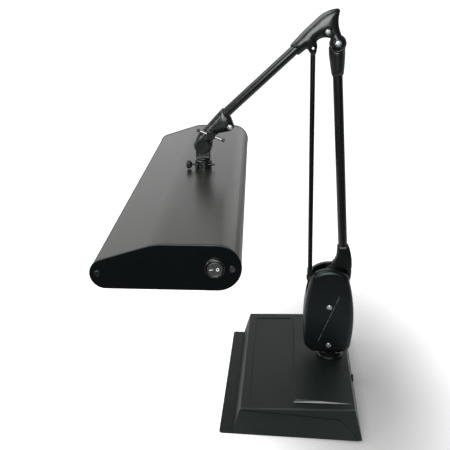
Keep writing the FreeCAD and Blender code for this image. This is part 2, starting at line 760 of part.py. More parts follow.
def make_housing_cover(name, side):
    """One half of the housing: side is -1 for the near half and 1 for the far half."""
    body = new_body(name)
    outer = (-dim.housingHalf, zero) if side < 0 else (zero, dim.housingHalf)
    inner = (-housing_inside, zero + 1) if side < 0 else (zero - 1, housing_inside)
    slot = (-dim.slotHalf, zero + 1) if side < 0 else (zero - 1, dim.slotHalf)
    boss = (-housing_inside - 1, zero) if side < 0 else (zero, housing_inside + 1)
    face = number(dim.housingHalf) * side
    pad(body, "XZ", *outer, housing_outline(zero))
    round_corners(body, zero)
    fillet(body, dim.housingEdge,
           lambda edge: all(abs(vertex.Point.y - face) < 1e-6 for vertex in edge.Vertexes))
    pocket(body, "XZ", *inner, housing_outline(dim.housingWall))
    bosses = [circle(x, z, dim.housingScrewHead) for x, z in housing_screw_places()]
    pad(body, "XZ", *boss, *bosses)
    # slot between the halves for the arm and the tie rod
    pocket(body, "XZ", *slot, rectangle(-dim.housingLeftBottom * 2, slot_bottom,
                                        dim.housingRightBottom * 2,
                                        housing_left_top * 1.2))
    # half hole for the post
    pocket(body, "XY", housing_left_foot - 5, frame_bottom + 1,
           circle(zero, zero, dim.postRadius + dim.gap))
    holes = [circle(x, z, dim.housingScrewRadius + dim.runFit) for x, z in housing_screw_places()]
    if side < 0:
        pocket(body, "XZ", -dim.housingHalf - 1, zero + 1, *holes)
        sinks = [circle(x, z, dim.housingScrewHead + dim.runFit) for x, z in housing_screw_places()]
        pocket(body, "XZ", -dim.housingHalf - 1, -dim.housingHalf + 0.8, *sinks)
    else:
        pocket(body, "XZ", zero - 1, dim.housingHalf - dim.housingWall, *holes)
    done(body)


def make_housing_screws():
    members = []
    seat = dim.housingHalf - 0.8
    for place_number, (x, z) in enumerate(housing_screw_places(), start=1):
        steps = screw_steps(dim.housingScrewHead, seat, seat + 2, dim.housingScrewRadius,
                            -housing_inside * 0.6)
        members.append(turned(f"housing_screw_{place_number}", steps, x, zero, z, "front"))
    group("housing_screws", members)


def make_spring_frame():
    body = new_body("spring_frame")
    left = main_x - dim.frameEye
    right = main_x + dim.frameEye
    pad(body, "XZ", -dim.frameHalf, dim.frameHalf,
        [line_to(left, frame_bottom), line_to(dim.frameWidth, frame_bottom),
         line_to(dim.frameWidth, frame_shoulder), line_to(right, frame_shoulder + 20),
         line_to(right, main_z), bend_to(main_x, main_z + dim.frameEye, dim.frameEye),
         bend_to(left, main_z, dim.frameEye)])
    pocket(body, "XZ", -frame_inside, frame_inside,
           rectangle(left - 1, frame_web_top, dim.frameWidth + 1, main_z + dim.frameEye + 1))
    holes = [circle(main_x, main_z, dim.pivotRadius + dim.runFit),
             circle(anchor_x, anchor_z, dim.anchorRadius + dim.runFit)]
    holes += [circle(x, z, dim.housingScrewHead + dim.gap) for x, z in housing_screw_places()]
    pocket(body, "XZ", -dim.frameHalf - 1, dim.frameHalf + 1, *holes)
    pocket(body, "XY", frame_bottom - 1, frame_web_top + 1,
           circle(zero, zero, dim.postRadius + dim.runFit))
    done(body)


def make_pivot_parts():
    end = dim.frameHalf + dim.pivotHeadThick
    shaft = dim.pivotRadius
    done(turned("main_pivot_bolt",
                [line_to(0, -end), line_to(dim.pivotHead, -end),
                 line_to(dim.pivotHead, -dim.frameHalf), line_to(shaft, -dim.frameHalf),
                 line_to(shaft, dim.frameHalf), line_to(dim.pivotHead, dim.frameHalf),
                 line_to(dim.pivotHead, end), line_to(0, end)], main_x, zero, main_z, "front"))
    inner = shaft + dim.runFit
    low = dim.cheekHalf + dim.gap
    members = [turned("pivot_spacer_1", tube_steps(inner, dim.spacerRadius, low, frame_inside),
                      main_x, zero, main_z, "front"),
               turned("pivot_spacer_2", tube_steps(inner, dim.spacerRadius, -frame_inside, -low),
                      main_x, zero, main_z, "front")]
    group("pivot_spacers", members)
    done(turned("spring_anchor_pin",
                rod_steps(dim.anchorRadius, -dim.frameHalf, dim.frameHalf),
                anchor_x, zero, anchor_z, "front"))


def make_spring(name, side):
    """Tension spring between the anchor pin and a lever stud, one each side."""
    body = new_body(name)
    wire = dim.springWire / 2
    eye = dim.anchorRadius + dim.gap
    outer = eye + dim.springWire
    length = main_z - anchor_z
    low = dim.springHook
    high = length - dim.springHook
    sketch = new_sketch(body, "XZ", zero, [circle(dim.springRadius, low, wire)])
    coil = body.newObject("PartDesign::AdditiveHelix", name + "_coil")
    coil.Profile = sketch
    coil.ReferenceAxis = (sketch, ["V_Axis"])
    coil.Mode = "height-turns-angle"
    coil.Height = number(high - low)
    coil.Turns = number(dim.springTurns)
    bind(coil, "Height", high - low)
    bind(coil, "Turns", dim.springTurns)
    sketch.Visibility = False
    # hooks: a straight wire to the eye at each end
    for end, foot in ((zero, low), (length, high)):
        pad(body, "XZ", -wire, wire, rectangle(-wire, foot - wire, dim.springRadius, foot + wire))
        first, last = (end, foot) if end is zero else (foot, end)
        pad(body, "XZ", -wire, wire, rectangle(-wire, first, wire, last))
        pad(body, "XZ", -wire, wire, circle(zero, end, outer))
        pocket(body, "XZ", -wire - 1, wire + 1, circle(zero, end, eye))
    place(body, anchor_x, dim.springSide * side, anchor_z)
    done(body)


# ---------------------------------------------------------------- lower arm

def make_boot():
    body = new_body("boot_casting")
    half_width = dim.bootWidth / 2
    left = dim.lowerTubeOffset - half_width
    right = dim.lowerTubeOffset + half_width
    cheek = dim.bootCheek
    skirt = dim.bootSkirt
    gap_right = skirt - dim.bootSkirtThick
    pad(body, "XZ", -dim.bootHalf, dim.bootHalf,
        [bend_to(cheek, zero, cheek), line_to(cheek, cheek * 0.75), line_to(gap_right, cheek * 0.75),
         line_to(gap_right + 3, -dim.bootSkirtDrop + 1), line_to(skirt - 3, -dim.bootSkirtDrop),
         bend_to(skirt, dim.bootTop / 5, dim.bootTop * 1.2),
         bend_to(right, dim.bootTop, dim.bootTop * 1.6),
         line_to(left, dim.bootTop), line_to(left - 1.5, dim.bootTop * 0.69),
         dent_to(-dim.bootHeel, dim.bootHeelHeight, dim.bootTop * 0.45),
         bend_to(-cheek, zero, cheek * 2),
         bend_to(zero, -cheek, cheek)])
    pocket(body, "XZ", -dim.bootSlot, dim.bootSlot,
           rectangle(-cheek * 3, -cheek * 3, gap_right, dim.bootTop * 0.4))
    pocket(body, "XZ", -dim.bootHalf - 1, dim.bootHalf + 1,
           circle(zero, zero, dim.pivotRadius + dim.runFit))
    pocket(body, "XY", dim.bootTop / 2, dim.bootTop + 1,
           circle(dim.lowerTubeOffset, zero, dim.lowerTubeRadius + dim.runFit))
    face = number(dim.bootHalf)
    low = number(dim.bootTop) * 0.2
    fillet(body, dim.bootEdge,
           lambda edge: on_side(edge, face) and all(v.Point.z > low for v in edge.Vertexes))
    # lobe and stud for the lower arm's spring, on the near cheek
    stud = dim.anchorRadius
    for low, high in ((dim.cheekHalf, dim.bootHalf + 1), (-dim.bootHalf - 1, -dim.cheekHalf)):
        pocket(body, "XZ", low, high, circle(zero, zero, cheek + dim.gap))
    pad(body, "XZ", -dim.cheekHalf, -dim.bootSlot,
        bar(zero, zero, dim.springLever * cosine(dim.lowerLean),
            -dim.springLever * sine(dim.lowerLean), stud * 2))
    pocket(body, "XZ", -dim.bootHalf - 1, dim.bootHalf + 1,
           circle(zero, zero, dim.pivotRadius + dim.runFit))
    pad(body, "XZ", -dim.studEnd, -dim.bootSlot,
        circle(dim.springLever * cosine(dim.lowerLean),
               -dim.springLever * sine(dim.lowerLean), stud))
    on_lower(body)


def on_side(edge, face):
    """True for an edge that lies on either flat side of a casting."""
    points = [vertex.Point for vertex in edge.Vertexes]
    if len(points) < 2 or abs(points[0].y - points[1].y) > 1e-6:
        return False
    return abs(abs(points[0].y) - face) < 1e-6


def make_lower_tube():
    body = new_body("lower_tube")
    outer = dim.lowerTubeRadius
    steps = tube_steps(outer - dim.tubeWall, outer, dim.bootTop / 2,
                       dim.lowerLength - dim.clevisTip * 2 / 3)
    revolve(body, steps)
    x, z = lower_place(dim.lowerTubeOffset, zero)
    place(body, x, zero, z, (0, -1, 0), dim.lowerLean)
    done(body)


def make_clevis():
    body = new_body("lower_clevis")
    tip = dim.lowerLength - dim.clevisTip
    top = dim.lowerLength - dim.tongueRadius * 0.3
    sleeve = dim.clevisRadius
    bore = dim.lowerTubeRadius + dim.runFit
    bore_end = dim.lowerLength - dim.clevisTip * 2 / 3
    revolve(body, [line_to(0, bore_end), line_to(bore, bore_end), line_to(bore, tip),
                   line_to(sleeve - 1.2, tip), line_to(sleeve, tip + 3),
                   line_to(sleeve + 1.2, tip + 12), line_to(dim.clevisTopRadius, tip + 31),
                   line_to(dim.clevisTopRadius, top), line_to(0, top)])
    elbow_clear = dim.bracketDisc + dim.gap
    for low, high in ((dim.tongueHalf, dim.clevisTopRadius * 2),
                      (-dim.clevisTopRadius * 2, -dim.tongueHalf)):
        pocket(body, "XZ", low, high, circle(dim.elbowOffset, dim.lowerLength, elbow_clear))
    pad(body, "XZ", -dim.tongueHalf, dim.tongueHalf,
        circle(dim.elbowOffset, dim.lowerLength, dim.tongueRadius))
    pocket(body, "XZ", -dim.tongueHalf - 1, dim.tongueHalf + 1,
           circle(dim.elbowOffset, dim.lowerLength, dim.elbowPin + dim.runFit))
    x, z = lower_place(dim.lowerTubeOffset, zero)
    place(body, x, zero, z, (0, -1, 0), dim.lowerLean)
    done(body)


# ---------------------------------------------------------------- crank and tie rod

def make_crank():
    body = new_body("crank_lever")
    tail_x = dim.springLever
    pad(body, "XZ", -dim.crankHubHalf, dim.crankHubHalf, circle(zero, zero, dim.crankHub))
    pad(body, "XZ", -dim.crankHalf, dim.crankHalf,
        bar(zero, zero, rod_step_x, rod_step_z, dim.crankWidth))
    pad(body, "XZ", -dim.crankHalf, dim.crankHalf, circle(rod_step_x, rod_step_z, dim.crankWidth))
    pad(body, "XZ", -dim.crankHalf, dim.crankHalf,
        bar(zero, zero, tail_x, zero, dim.anchorRadius * 2))
    pad(body, "XZ", -dim.crankHalf, dim.studEnd,
        circle(tail_x, zero, dim.anchorRadius))
    pocket(body, "XZ", -dim.crankHubHalf - 1, dim.crankHubHalf + 1,
           circle(zero, zero, dim.pivotRadius + dim.runFit),
           circle(rod_step_x, rod_step_z, dim.crankPin))
    place(body, main_x, zero, main_z)
    done(body)
    done(turned("crank_pin", rod_steps(dim.crankPin, -dim.forkHalf - 0.8, dim.forkHalf + 0.8),
                crank_x, zero, crank_z, "front"))


rod_run_x = elbow_x - main_x
rod_run_z = elbow_z - main_z
rod_length = root(rod_run_x * rod_run_x + rod_run_z * rod_run_z)


def on_rod(body):
    """The body's own Z runs from the crank pin to the lug on the upper arm."""
    lean = math.degrees(math.atan2(-rod_run_x.value, rod_run_z.value))
    angle = Size(lean, f"atan((0 - {rod_run_x.text}) / {rod_run_z.text})")
    place(body, crank_x, zero, crank_z, (0, -1, 0), angle)
    return done(body)


def make_tie_rod():
    body = new_body("tie_rod_tube")
    revolve(body, tube_steps(dim.rodBore, dim.rodRadius, dim.forkSlot + dim.gap,
                             rod_length - dim.eyeLength))
    on_rod(body)
    fork = new_body("rod_lower_fork")
    sleeve = dim.rodRadius + dim.runFit
    pad(fork, "XZ", -dim.forkHalf, dim.forkHalf,
        rectangle(-dim.forkHalf, zero, dim.forkHalf, dim.forkLength))
    pad(fork, "XZ", -dim.forkHalf, dim.forkHalf, circle(zero, zero, dim.forkRadius))
    pocket(fork, "XZ", -dim.crankHalf - dim.gap, dim.crankHalf + dim.gap,
           rectangle(-dim.forkRadius - 1, -dim.forkRadius - 1, dim.forkRadius + 1,
                     dim.forkSlot))
    pocket(fork, "XZ", -dim.forkHalf - 1, dim.forkHalf + 1,
           circle(zero, zero, dim.crankPin + dim.runFit))
    pocket(fork, "XY", dim.forkSlot - 1, dim.forkLength + 1, circle(zero, zero, sleeve))
    on_rod(fork)
    eye = new_body("rod_upper_eye")
    low = rod_length - dim.eyeLength
    pad(eye, "XZ", -dim.eyeHalf, dim.eyeHalf, circle(zero, rod_length, dim.eyeRadius))
    pad(eye, "XZ", -dim.eyeHalf, dim.eyeHalf,
        rectangle(-dim.rodRadius, low, dim.rodRadius, rod_length))
    pocket(eye, "XZ", -dim.eyeHalf - 1, dim.eyeHalf + 1,
           circle(zero, rod_length, dim.rodPin + dim.gap))
    pad(eye, "XY", low - dim.forkRadius, low + dim.runFit, circle(zero, zero, dim.rodBore - dim.runFit))
    on_rod(eye)


# ---------------------------------------------------------------- upper arm

def make_bracket():
    body = new_body("elbow_bracket")
    disc = dim.bracketDisc
    rise = dim.upperTubeRise
    sleeve = dim.upperTubeRadius + dim.sleeveWall
    end = dim.bracketEnd
    pad(body, "XZ", -dim.bracketHalf, dim.bracketHalf,
        [line_to(rise + sleeve, end), dent_to(dim.finCrest, zero, dim.finCrestRound),
         dent_to(dim.finTip, -dim.finTipBack, dim.finTipRound),
         line_to(dim.finTip - dim.finTipWidth, -dim.finTipBack),
         bend_to(dim.finThroat, -dim.finThroatBack, dim.finThroatRound),
         line_to(disc * 0.4, -disc * 0.92),
         dent_to(-disc * 0.4, -disc * 0.92, disc), dent_to(-disc * 0.92, disc * 0.4, disc),
         dent_to(disc * 0.4, disc * 0.92, disc), line_to(disc * 0.96, disc * 0.26),
         bend_to(rise - dim.bracketRoof, dim.rodLugAlong - 9, dim.bracketHollow),
         line_to(dim.rodLugRise - 2.5, dim.rodLugAlong - 6),
         line_to(dim.rodLugRise - 9.7, dim.rodLugAlong + 2.7),
         line_to(dim.rodLugRise - 4.9, dim.rodLugAlong + 8.4),
         line_to(rise - sleeve - 1.2, dim.rodLugAlong + 7), line_to(rise - sleeve, end)])
    pad(body, "XZ", -dim.bracketDiscHalf, dim.bracketDiscHalf, circle(zero, zero, disc - 0.7))
    face = number(dim.bracketHalf)
    start = number(disc) * 2.4
    fillet(body, dim.bracketEdge,
           lambda edge: on_side(edge, face) and all(v.Point.x > start for v in edge.Vertexes))
    slot = dim.tongueHalf + dim.gap
    pocket(body, "XZ", -slot, slot, circle(zero, zero, dim.clevisTopRadius + 3.6))
    eye = dim.eyeHalf + dim.gap
    pocket(body, "XZ", -eye, eye,
           rectangle(dim.rodLugRise - 12, dim.rodLugAlong - 8, dim.rodLugRise + 5.2,
                     dim.rodLugAlong + 10))
    pocket(body, "XZ", -dim.bracketDiscHalf - 1, dim.bracketDiscHalf + 1,
           circle(zero, zero, dim.elbowPin), circle(dim.rodLugRise, dim.rodLugAlong, dim.rodPin))
    pocket(body, "XY", disc, end + 1, circle(rise, zero, dim.upperTubeRadius + dim.runFit))
    # seat of the clamp screw
    pocket(body, "XZ", -dim.bracketHalf - 1, -dim.bracketHalf + 1.5,
           circle(dim.elbowScrewRise, zero, dim.elbowScrewHead + 1.6))
    pocket(body, "XZ", -dim.bracketHalf - 1, dim.bracketHalf / 2,
           circle(dim.elbowScrewRise, zero, dim.housingScrewRadius))
    on_upper(body, elbow_x, elbow_z)


def make_elbow_parts():
    head = dim.bracketDiscHalf
    cap = dim.elbowHead
    done(turned("elbow_bolt",
                [line_to(0, -head - 1.4), line_to(cap, -head - 1.4), line_to(cap, -head),
                 line_to(dim.elbowPin, -head), line_to(dim.elbowPin, head), line_to(cap, head),
                 line_to(cap, head + 1.4), line_to(0, head + 1.4)],
                elbow_x, zero, elbow_z, "front"))
    seat = dim.bracketHalf - 1.5
    x, z = upper_place(dim.elbowScrewRise, zero)
    done(turned("elbow_clamp_screw",
                screw_steps(dim.elbowScrewHead, seat, seat + 2, dim.housingScrewRadius,
                            -dim.bracketHalf / 2), x, zero, z, "front"))
    done(turned("tie_rod_pin", rod_steps(dim.rodPin, -dim.bracketHalf + 0.6, dim.bracketHalf - 0.6),
                lug_x, zero, lug_z, "front"))


def make_upper_tube():
    body = new_body("upper_tube")
    outer = dim.upperTubeRadius
    revolve(body, tube_steps(outer - dim.tubeWall, outer, dim.bracketDisc,
                             dim.upperLength - dim.wristSleeve * 0.75))
    x, z = upper_place(dim.upperTubeRise, zero)
    on_upper(body, x, z)


def make_wrist():
    body = new_body("wrist_casting")
    cheek = dim.cheekRadius
    axis = dim.upperTubeRise - dim.wristRise
    sleeve = dim.upperTubeRadius + dim.sleeveWall
    start = -dim.wristSleeve
    pad(body, "XZ", -dim.wristHalf, dim.wristHalf,
        [line_to(axis + sleeve, start), line_to(cheek + 3, -cheek * 0.9),
         bend_to(cheek * 0.98, cheek * 0.2, cheek * 1.5), bend_to(zero, cheek, cheek),
         bend_to(-cheek * 0.96, cheek * 0.28, cheek), bend_to(-cheek * 0.707, -cheek * 0.707, cheek),
         dent_to(-1.9, -dim.knobAlong, 30), line_to(-2.6, -dim.knobAlong - 8),
         line_to(-dim.lugScrewDrop - dim.lugScrewHead * 1.3, -dim.lugScrewAlong + 4.6),
         line_to(-dim.lugScrewDrop - dim.lugScrewHead * 1.3, -dim.lugScrewAlong - 4),
         line_to(-dim.lugScrewDrop + 2.4, -dim.lugScrewAlong - 7), line_to(axis - sleeve, start)])
    face = number(dim.wristHalf)
    fillet(body, dim.wristEdge,
           lambda edge: on_side(edge, face) and edge.BoundBox.ZMax < number(-cheek) * 0.85
           and edge.Length > number(cheek) * 0.8)
    pocket(body, "XZ", -dim.wristSlot, dim.wristSlot, circle(zero, zero, cheek + 1.8))
    pocket(body, "XZ", -dim.wristSlit / 2, dim.wristSlit / 2,
           rectangle(-cheek, -dim.knobAlong - dim.knobRadius, cheek * 1.8, -cheek * 0.9))
    pocket(body, "XY", start - 1, -dim.wristSleeve * 0.25 - 12,
           circle(axis, zero, dim.upperTubeRadius + dim.runFit))
    pocket(body, "XZ", -dim.wristHalf - 1, dim.wristHalf + 1,
           circle(zero, zero, dim.tiltPin), circle(dim.knobRise, -dim.knobAlong,
                                                   dim.knobShank + dim.runFit))
    pocket(body, "XZ", -dim.wristHalf - 1, dim.wristHalf / 2,
           circle(-dim.lugScrewDrop, -dim.lugScrewAlong, dim.clampScrewRadius))
    on_upper(body, wrist_x, wrist_z)


def wrist_shift(rise, along):
    x, z = upper_shift(rise, along)
    return wrist_x + x, wrist_z + z


def make_wrist_parts():
    x, z = wrist_shift(-dim.lugScrewDrop, -dim.lugScrewAlong)
    done(turned("wrist_tube_screw",
                screw_steps(dim.lugScrewHead, dim.wristHalf, dim.wristHalf + 2,
                            dim.clampScrewRadius, -dim.wristHalf / 2), x, zero, z, "front"))
    low = dim.wristHalf
    high = low + dim.tiltCapThick
    cap = dim.tiltCap
    done(turned("tilt_bolt",
                [line_to(0, -high), line_to(cap - 1, -high), line_to(cap, -high + 1),
                 line_to(cap, -low), line_to(dim.tiltPin, -low), line_to(dim.tiltPin, low),
                 line_to(cap, low), line_to(cap, high - 1), line_to(cap - 1, high),
                 line_to(0, high)], wrist_x, zero, wrist_z, "front"))
    x, z = wrist_shift(dim.knobRise, -dim.knobAlong)
    far = dim.wristHalf + dim.gap
    nut = dim.knobShank * 1.9
    done(turned("clamp_nut", tube_steps(dim.knobShank + dim.runFit, nut, dim.wristHalf,
                                        dim.wristHalf + dim.knobShank),
                x, zero, z, "front"))
    subparts[-1].Placement = Placement(subparts[-1].Placement.Base, Rotation(Vector(1, 0, 0), -90))
    head = dim.knobRadius
    top = far + dim.knobHeight
    screw = turned("clamp_screw",
                   [line_to(0, -far - dim.knobShank), line_to(dim.knobShank, -far - dim.knobShank),
                    line_to(dim.knobShank, far), line_to(head, far), line_to(head, top - 1),
                    line_to(head - 1, top), line_to(0, top)], x, zero, z, "front")
    bar_height = far + dim.knobHeight * 0.6
    pocket(screw, "YZ", -head - 1, head + 1,
           circle(zero, bar_height, dim.handleRadius + dim.runFit))
    screw.setExpression("Placement.Rotation.Angle", None)
    turn = Rotation(Vector(0, 1, 0), number(dim.handleAngle)).multiply(Rotation(Vector(1, 0, 0), 90))
    screw.Placement = Placement(screw.Placement.Base, turn)
    done(screw)
    handle = new_body("clamp_handle")
    reach = dim.handleReach
    ball = dim.handleEnd
    revolve(handle, [line_to(0, -reach), line_to(ball, -reach), line_to(ball, -reach + 3),
                     line_to(dim.handleRadius, -reach + 3.6), line_to(dim.handleRadius, reach - 3.6),
                     line_to(ball, reach - 3), line_to(ball, reach), line_to(0, reach)])
    place(handle, x, -bar_height, z, (0, 1, 0), dim.handleAngle + 90)
    done(handle)


# ---------------------------------------------------------------- head

# lower end of the shade collar, seen from the wrist axis
sleeve_low = shade_top - dim.shadeWall - dim.headNutThick - wrist_z


def make_knuckle():
    body = new_body("tilt_knuckle")
    neck = -dim.neckTop
    flange = neck - dim.neckThick
    pad(body, "XZ", -dim.knuckleHalf, dim.knuckleHalf, circle(zero, zero, dim.knuckleRadius))
    pad(body, "XZ", -dim.knuckleHalf, dim.knuckleHalf,
        rectangle(-dim.neckHalf, neck - 1, dim.neckHalf, zero))
    pad(body, "XY", flange, neck, circle(zero, zero, dim.neckFlange))
    pad(body, "XY", sleeve_low - dim.spigotPast, flange, circle(zero, zero, dim.spigotRadius))
    pocket(body, "XZ", -dim.knuckleHalf - 1, dim.knuckleHalf + 1,
           circle(zero, zero, dim.tiltPin + dim.runFit))
    place(body, wrist_x, zero, wrist_z)
    done(body)
    clip_top = sleeve_low - dim.gap
    done(turned("retaining_clip",
                tube_steps(dim.spigotRadius, dim.headCollarSleeve, clip_top - dim.clipThick, clip_top),
                wrist_x, zero, wrist_z))


collar_top = wrist_z - dim.neckTop - dim.neckThick - dim.gap
shade_bottom = shade_top - dim.shadeDepth
pinch_z = shade_top + dim.pinchHeight


def on_head(body, x=zero, y=zero, z=zero):
    """Turned about the head's swivel axis with the shade."""
    yaw = dim.shadeYaw
    place(body, wrist_x + x * cosine(yaw) - y * sine(yaw), x * sine(yaw) + y * cosine(yaw), z,
          (0, 0, 1), yaw)
    return body


def make_head_collar():
    body = new_body("shade_collar")
    bore = dim.spigotRadius + dim.runFit
    sleeve = dim.headCollarSleeve
    low = shade_top - dim.shadeWall - dim.headNutThick
    revolve(body, [line_to(bore, low), line_to(sleeve, low), line_to(sleeve, shade_top),
                   line_to(dim.headCollar, shade_top), line_to(dim.headCollar, collar_top - 1),
                   line_to(dim.headCollar - 1, collar_top), line_to(bore, collar_top)])
    pocket(body, "YZ", -dim.headCollar - 1, dim.headCollar + 1,
           circle(-dim.pinchSide, pinch_z, dim.pinchRadius + dim.runFit))
    pocket(body, "XY", shade_top + 1, collar_top + 1,
           rectangle(-dim.collarSlit, -dim.headCollar - 1, dim.collarSlit, -dim.spigotRadius / 2))
    done(on_head(body))
    nut = new_body("collar_nut")
    revolve(nut, tube_steps(sleeve, dim.headNut, low, low + dim.headNutThick))
    done(on_head(nut))
    screw = new_body("pinch_screw")
    knob = dim.pinchKnob
    left = -dim.pinchLeft
    inner = left + dim.pinchKnobThick
    revolve(screw, [line_to(0, left), line_to(knob, left), line_to(knob, inner),
                    line_to(dim.pinchRadius, inner), line_to(dim.pinchRadius, dim.pinchRight),
                    line_to(0, dim.pinchRight)])
    yaw = dim.shadeYaw
    base = Vector(wrist_x.value + dim.pinchSide.value * math.sin(math.radians(yaw.value)),
                  -dim.pinchSide.value * math.cos(math.radians(yaw.value)), pinch_z.value)
    turn = Rotation(Vector(0, 0, 1), yaw.value).multiply(Rotation(Vector(0, 1, 0), 90))
    screw.Placement = Placement(base, turn)
    done(screw)


def shade_outline(inset):
    """Cross-section of the shade: a round back, a flat top and a small round front."""
    slope = dim.crownSlope
    top = shade_top - inset
    bottom = shade_bottom + inset
    back = dim.shadeDepth / 2 - inset
    nose = dim.noseRadius - inset
    nose_x = -dim.noseAcross
    nose_z = shade_bottom + dim.noseRadius
    lip_x = nose_x - nose * sine(slope)
    lip_z = nose_z + nose * cosine(slope)
    half_turn = sine(slope) / (cosine(slope) + 1)
    crown = dim.crownRun / half_turn - inset
    run = crown * half_turn
    meet = lip_x + (top - lip_z) * cosine(slope) / sine(slope)
    middle = (shade_top + shade_bottom) / 2
    return [line_to(dim.backAcross, bottom), bend_to(dim.backAcross + back, middle, back),
            bend_to(dim.backAcross, top, back), line_to(meet + run, top),
            bend_to(meet - run * cosine(slope), top - run * sine(slope), crown),
            line_to(lip_x, lip_z), bend_to(nose_x - nose, nose_z, nose),
            bend_to(nose_x, bottom, nose)]


def cap_screw_places():
    return [(-dim.portFront, shade_top - dim.portFrontDrop),
            (dim.portBack, shade_top - dim.portBackDrop)]


shell_near = -dim.shadeNear + dim.capThick
shell_far = dim.shadeFar - dim.capThick
led_top = shade_top - dim.shadeWall - dim.ribDepth


def make_shell():
    body = new_body("shade_shell")
    wall = dim.shadeWall
    pad(body, "XZ", shell_near, shell_far, shade_outline(zero))
    pocket(body, "XZ", shell_near - 1, shell_far + 1, shade_outline(wall))
    # ribs that carry the light engine, and the ports for the cap screws
    for x, drop in ((-dim.ribFront, dim.ribFrontDrop), (dim.ribBack, zero)):
        pad(body, "XZ", shell_near, shell_far,
            rectangle(x - dim.ribThick / 2, led_top, x + dim.ribThick / 2,
                      shade_top - wall / 2 - drop))
    (front_x, front_z), (back_x, back_z) = cap_screw_places()
    port = dim.portRadius
    for x, z, end in ((front_x, front_z, -dim.noseAcross - dim.noseRadius + wall / 2),
                      (back_x, back_z, dim.backAcross + dim.shadeDepth / 2 - wall / 2)):
        pad(body, "XZ", shell_near, shell_far, circle(x, z, port))
        low, high = (end, x) if end.value < x.value else (x, end)
        pad(body, "XZ", shell_near, shell_far,
            rectangle(low, z - dim.portWeb, high, z + dim.portWeb))
        pocket(body, "XZ", shell_near - 1, shell_far + 1, circle(x, z, dim.capScrewRadius + dim.runFit))
    # window for the light, and the hole for the collar
    pocket(body, "XY", shade_bottom - 1, shade_bottom + wall + 0.2,
           rectangle(-dim.windowFront, shell_near + dim.windowEnd, dim.windowBack,
                     shell_far - dim.windowEnd))
    pocket(body, "XY", led_top + 1, shade_top + 1,
           circle(zero, zero, dim.headCollarSleeve + dim.runFit))
    # twin grooves along the rounded back
    for drop in (0.16, 0.24):
        groove_z = shade_top - dim.shadeDepth * drop
        reach = dim.shadeDepth / 2
        low = dim.shadeDepth * (0.5 - drop)
        x = dim.backAcross + root(reach * reach - low * low)
        pocket(body, "XZ", shell_near - 1, shell_far + 1, circle(x, groove_z, dim.grooveRadius))
    done(on_head(body))


def make_caps():
    ports = cap_screw_places()
    switch_z = shade_top - dim.switchDrop
    for name, low, high in (("end_cap_near", -dim.shadeNear, shell_near),
                            ("end_cap_far", shell_far, dim.shadeFar)):
        body = new_body(name)
        pad(body, "XZ", low, high, shade_outline(-dim.capProud))
        face = number(-dim.shadeNear if name == "end_cap_near" else dim.shadeFar)
        fillet(body, dim.capEdge, lambda edge: all(abs(v.Point.y - face) < 1e-6
                                                   for v in edge.Vertexes))
        holes = [circle(x, z, dim.capScrewRadius + dim.runFit) for x, z in ports]
        pocket(body, "XZ", low - 1, high + 1, *holes)
        if name == "end_cap_near":
            pocket(body, "XZ", low - 1, high + 1,
                   circle(dim.switchAcross, switch_z, dim.switchBody + dim.runFit))
        done(on_head(body))


def make_cap_screws():
    members = []
    radius = dim.capScrewRadius
    for end, face in ((-1, dim.shadeNear), (1, dim.shadeFar)):
        for x, z in cap_screw_places():
            steps = screw_steps(dim.capScrewHead, zero, radius, radius, -dim.capScrewLength)
            body = new_body(f"cap_screw_{len(members) + 1}")
            revolve(body, steps)
            on_head(body, x, face * end, z)
            spot = body.Placement.Base
            turn = Rotation(Vector(0, 0, 1), number(dim.shadeYaw))
            body.setExpression("Placement.Rotation.Angle", None)
            body.Placement = Placement(spot, turn.multiply(Rotation(Vector(1, 0, 0), -90 * end)))
            members.append(body)
    group("cap_screws", members)


def make_light():
    plate = new_body("led_plate")
    middle = (dim.ribBack - dim.ribFront) / 2
    low = led_top - dim.ledPlateThick
    near = shell_near + dim.ledPlateEnd
    far = shell_far - dim.ledPlateEnd
    pad(plate, "XY", low, led_top,
        rectangle(middle - dim.ledPlateHalf, near, middle + dim.ledPlateHalf, far))
    done(on_head(plate))
    strips = new_body("led_strips")
    for x in (middle - dim.stripSide, middle + dim.stripSide):
        pad(strips, "XY", low - dim.stripThick, low,
            rectangle(x - dim.stripHalf, near + 5, x + dim.stripHalf, far - 5))
    done(on_head(strips))
    driver = new_body("led_driver")
    pad(driver, "XY", led_top, led_top + dim.driverHeight,
        rectangle(middle - dim.driverHalf, -dim.driverNear, middle + dim.driverHalf,
                  -dim.driverNear + dim.driverLength))
    done(on_head(driver))
    panel = new_body("diffuser")
    seat = shade_bottom + dim.shadeWall
    lap = dim.diffuserLap
    pad(panel, "XY", seat, seat + dim.diffuserThick,
        rectangle(-dim.windowFront - lap, shell_near + dim.windowEnd - lap, dim.windowBack + lap,
                  shell_far - dim.windowEnd + lap))
    done(on_head(panel))


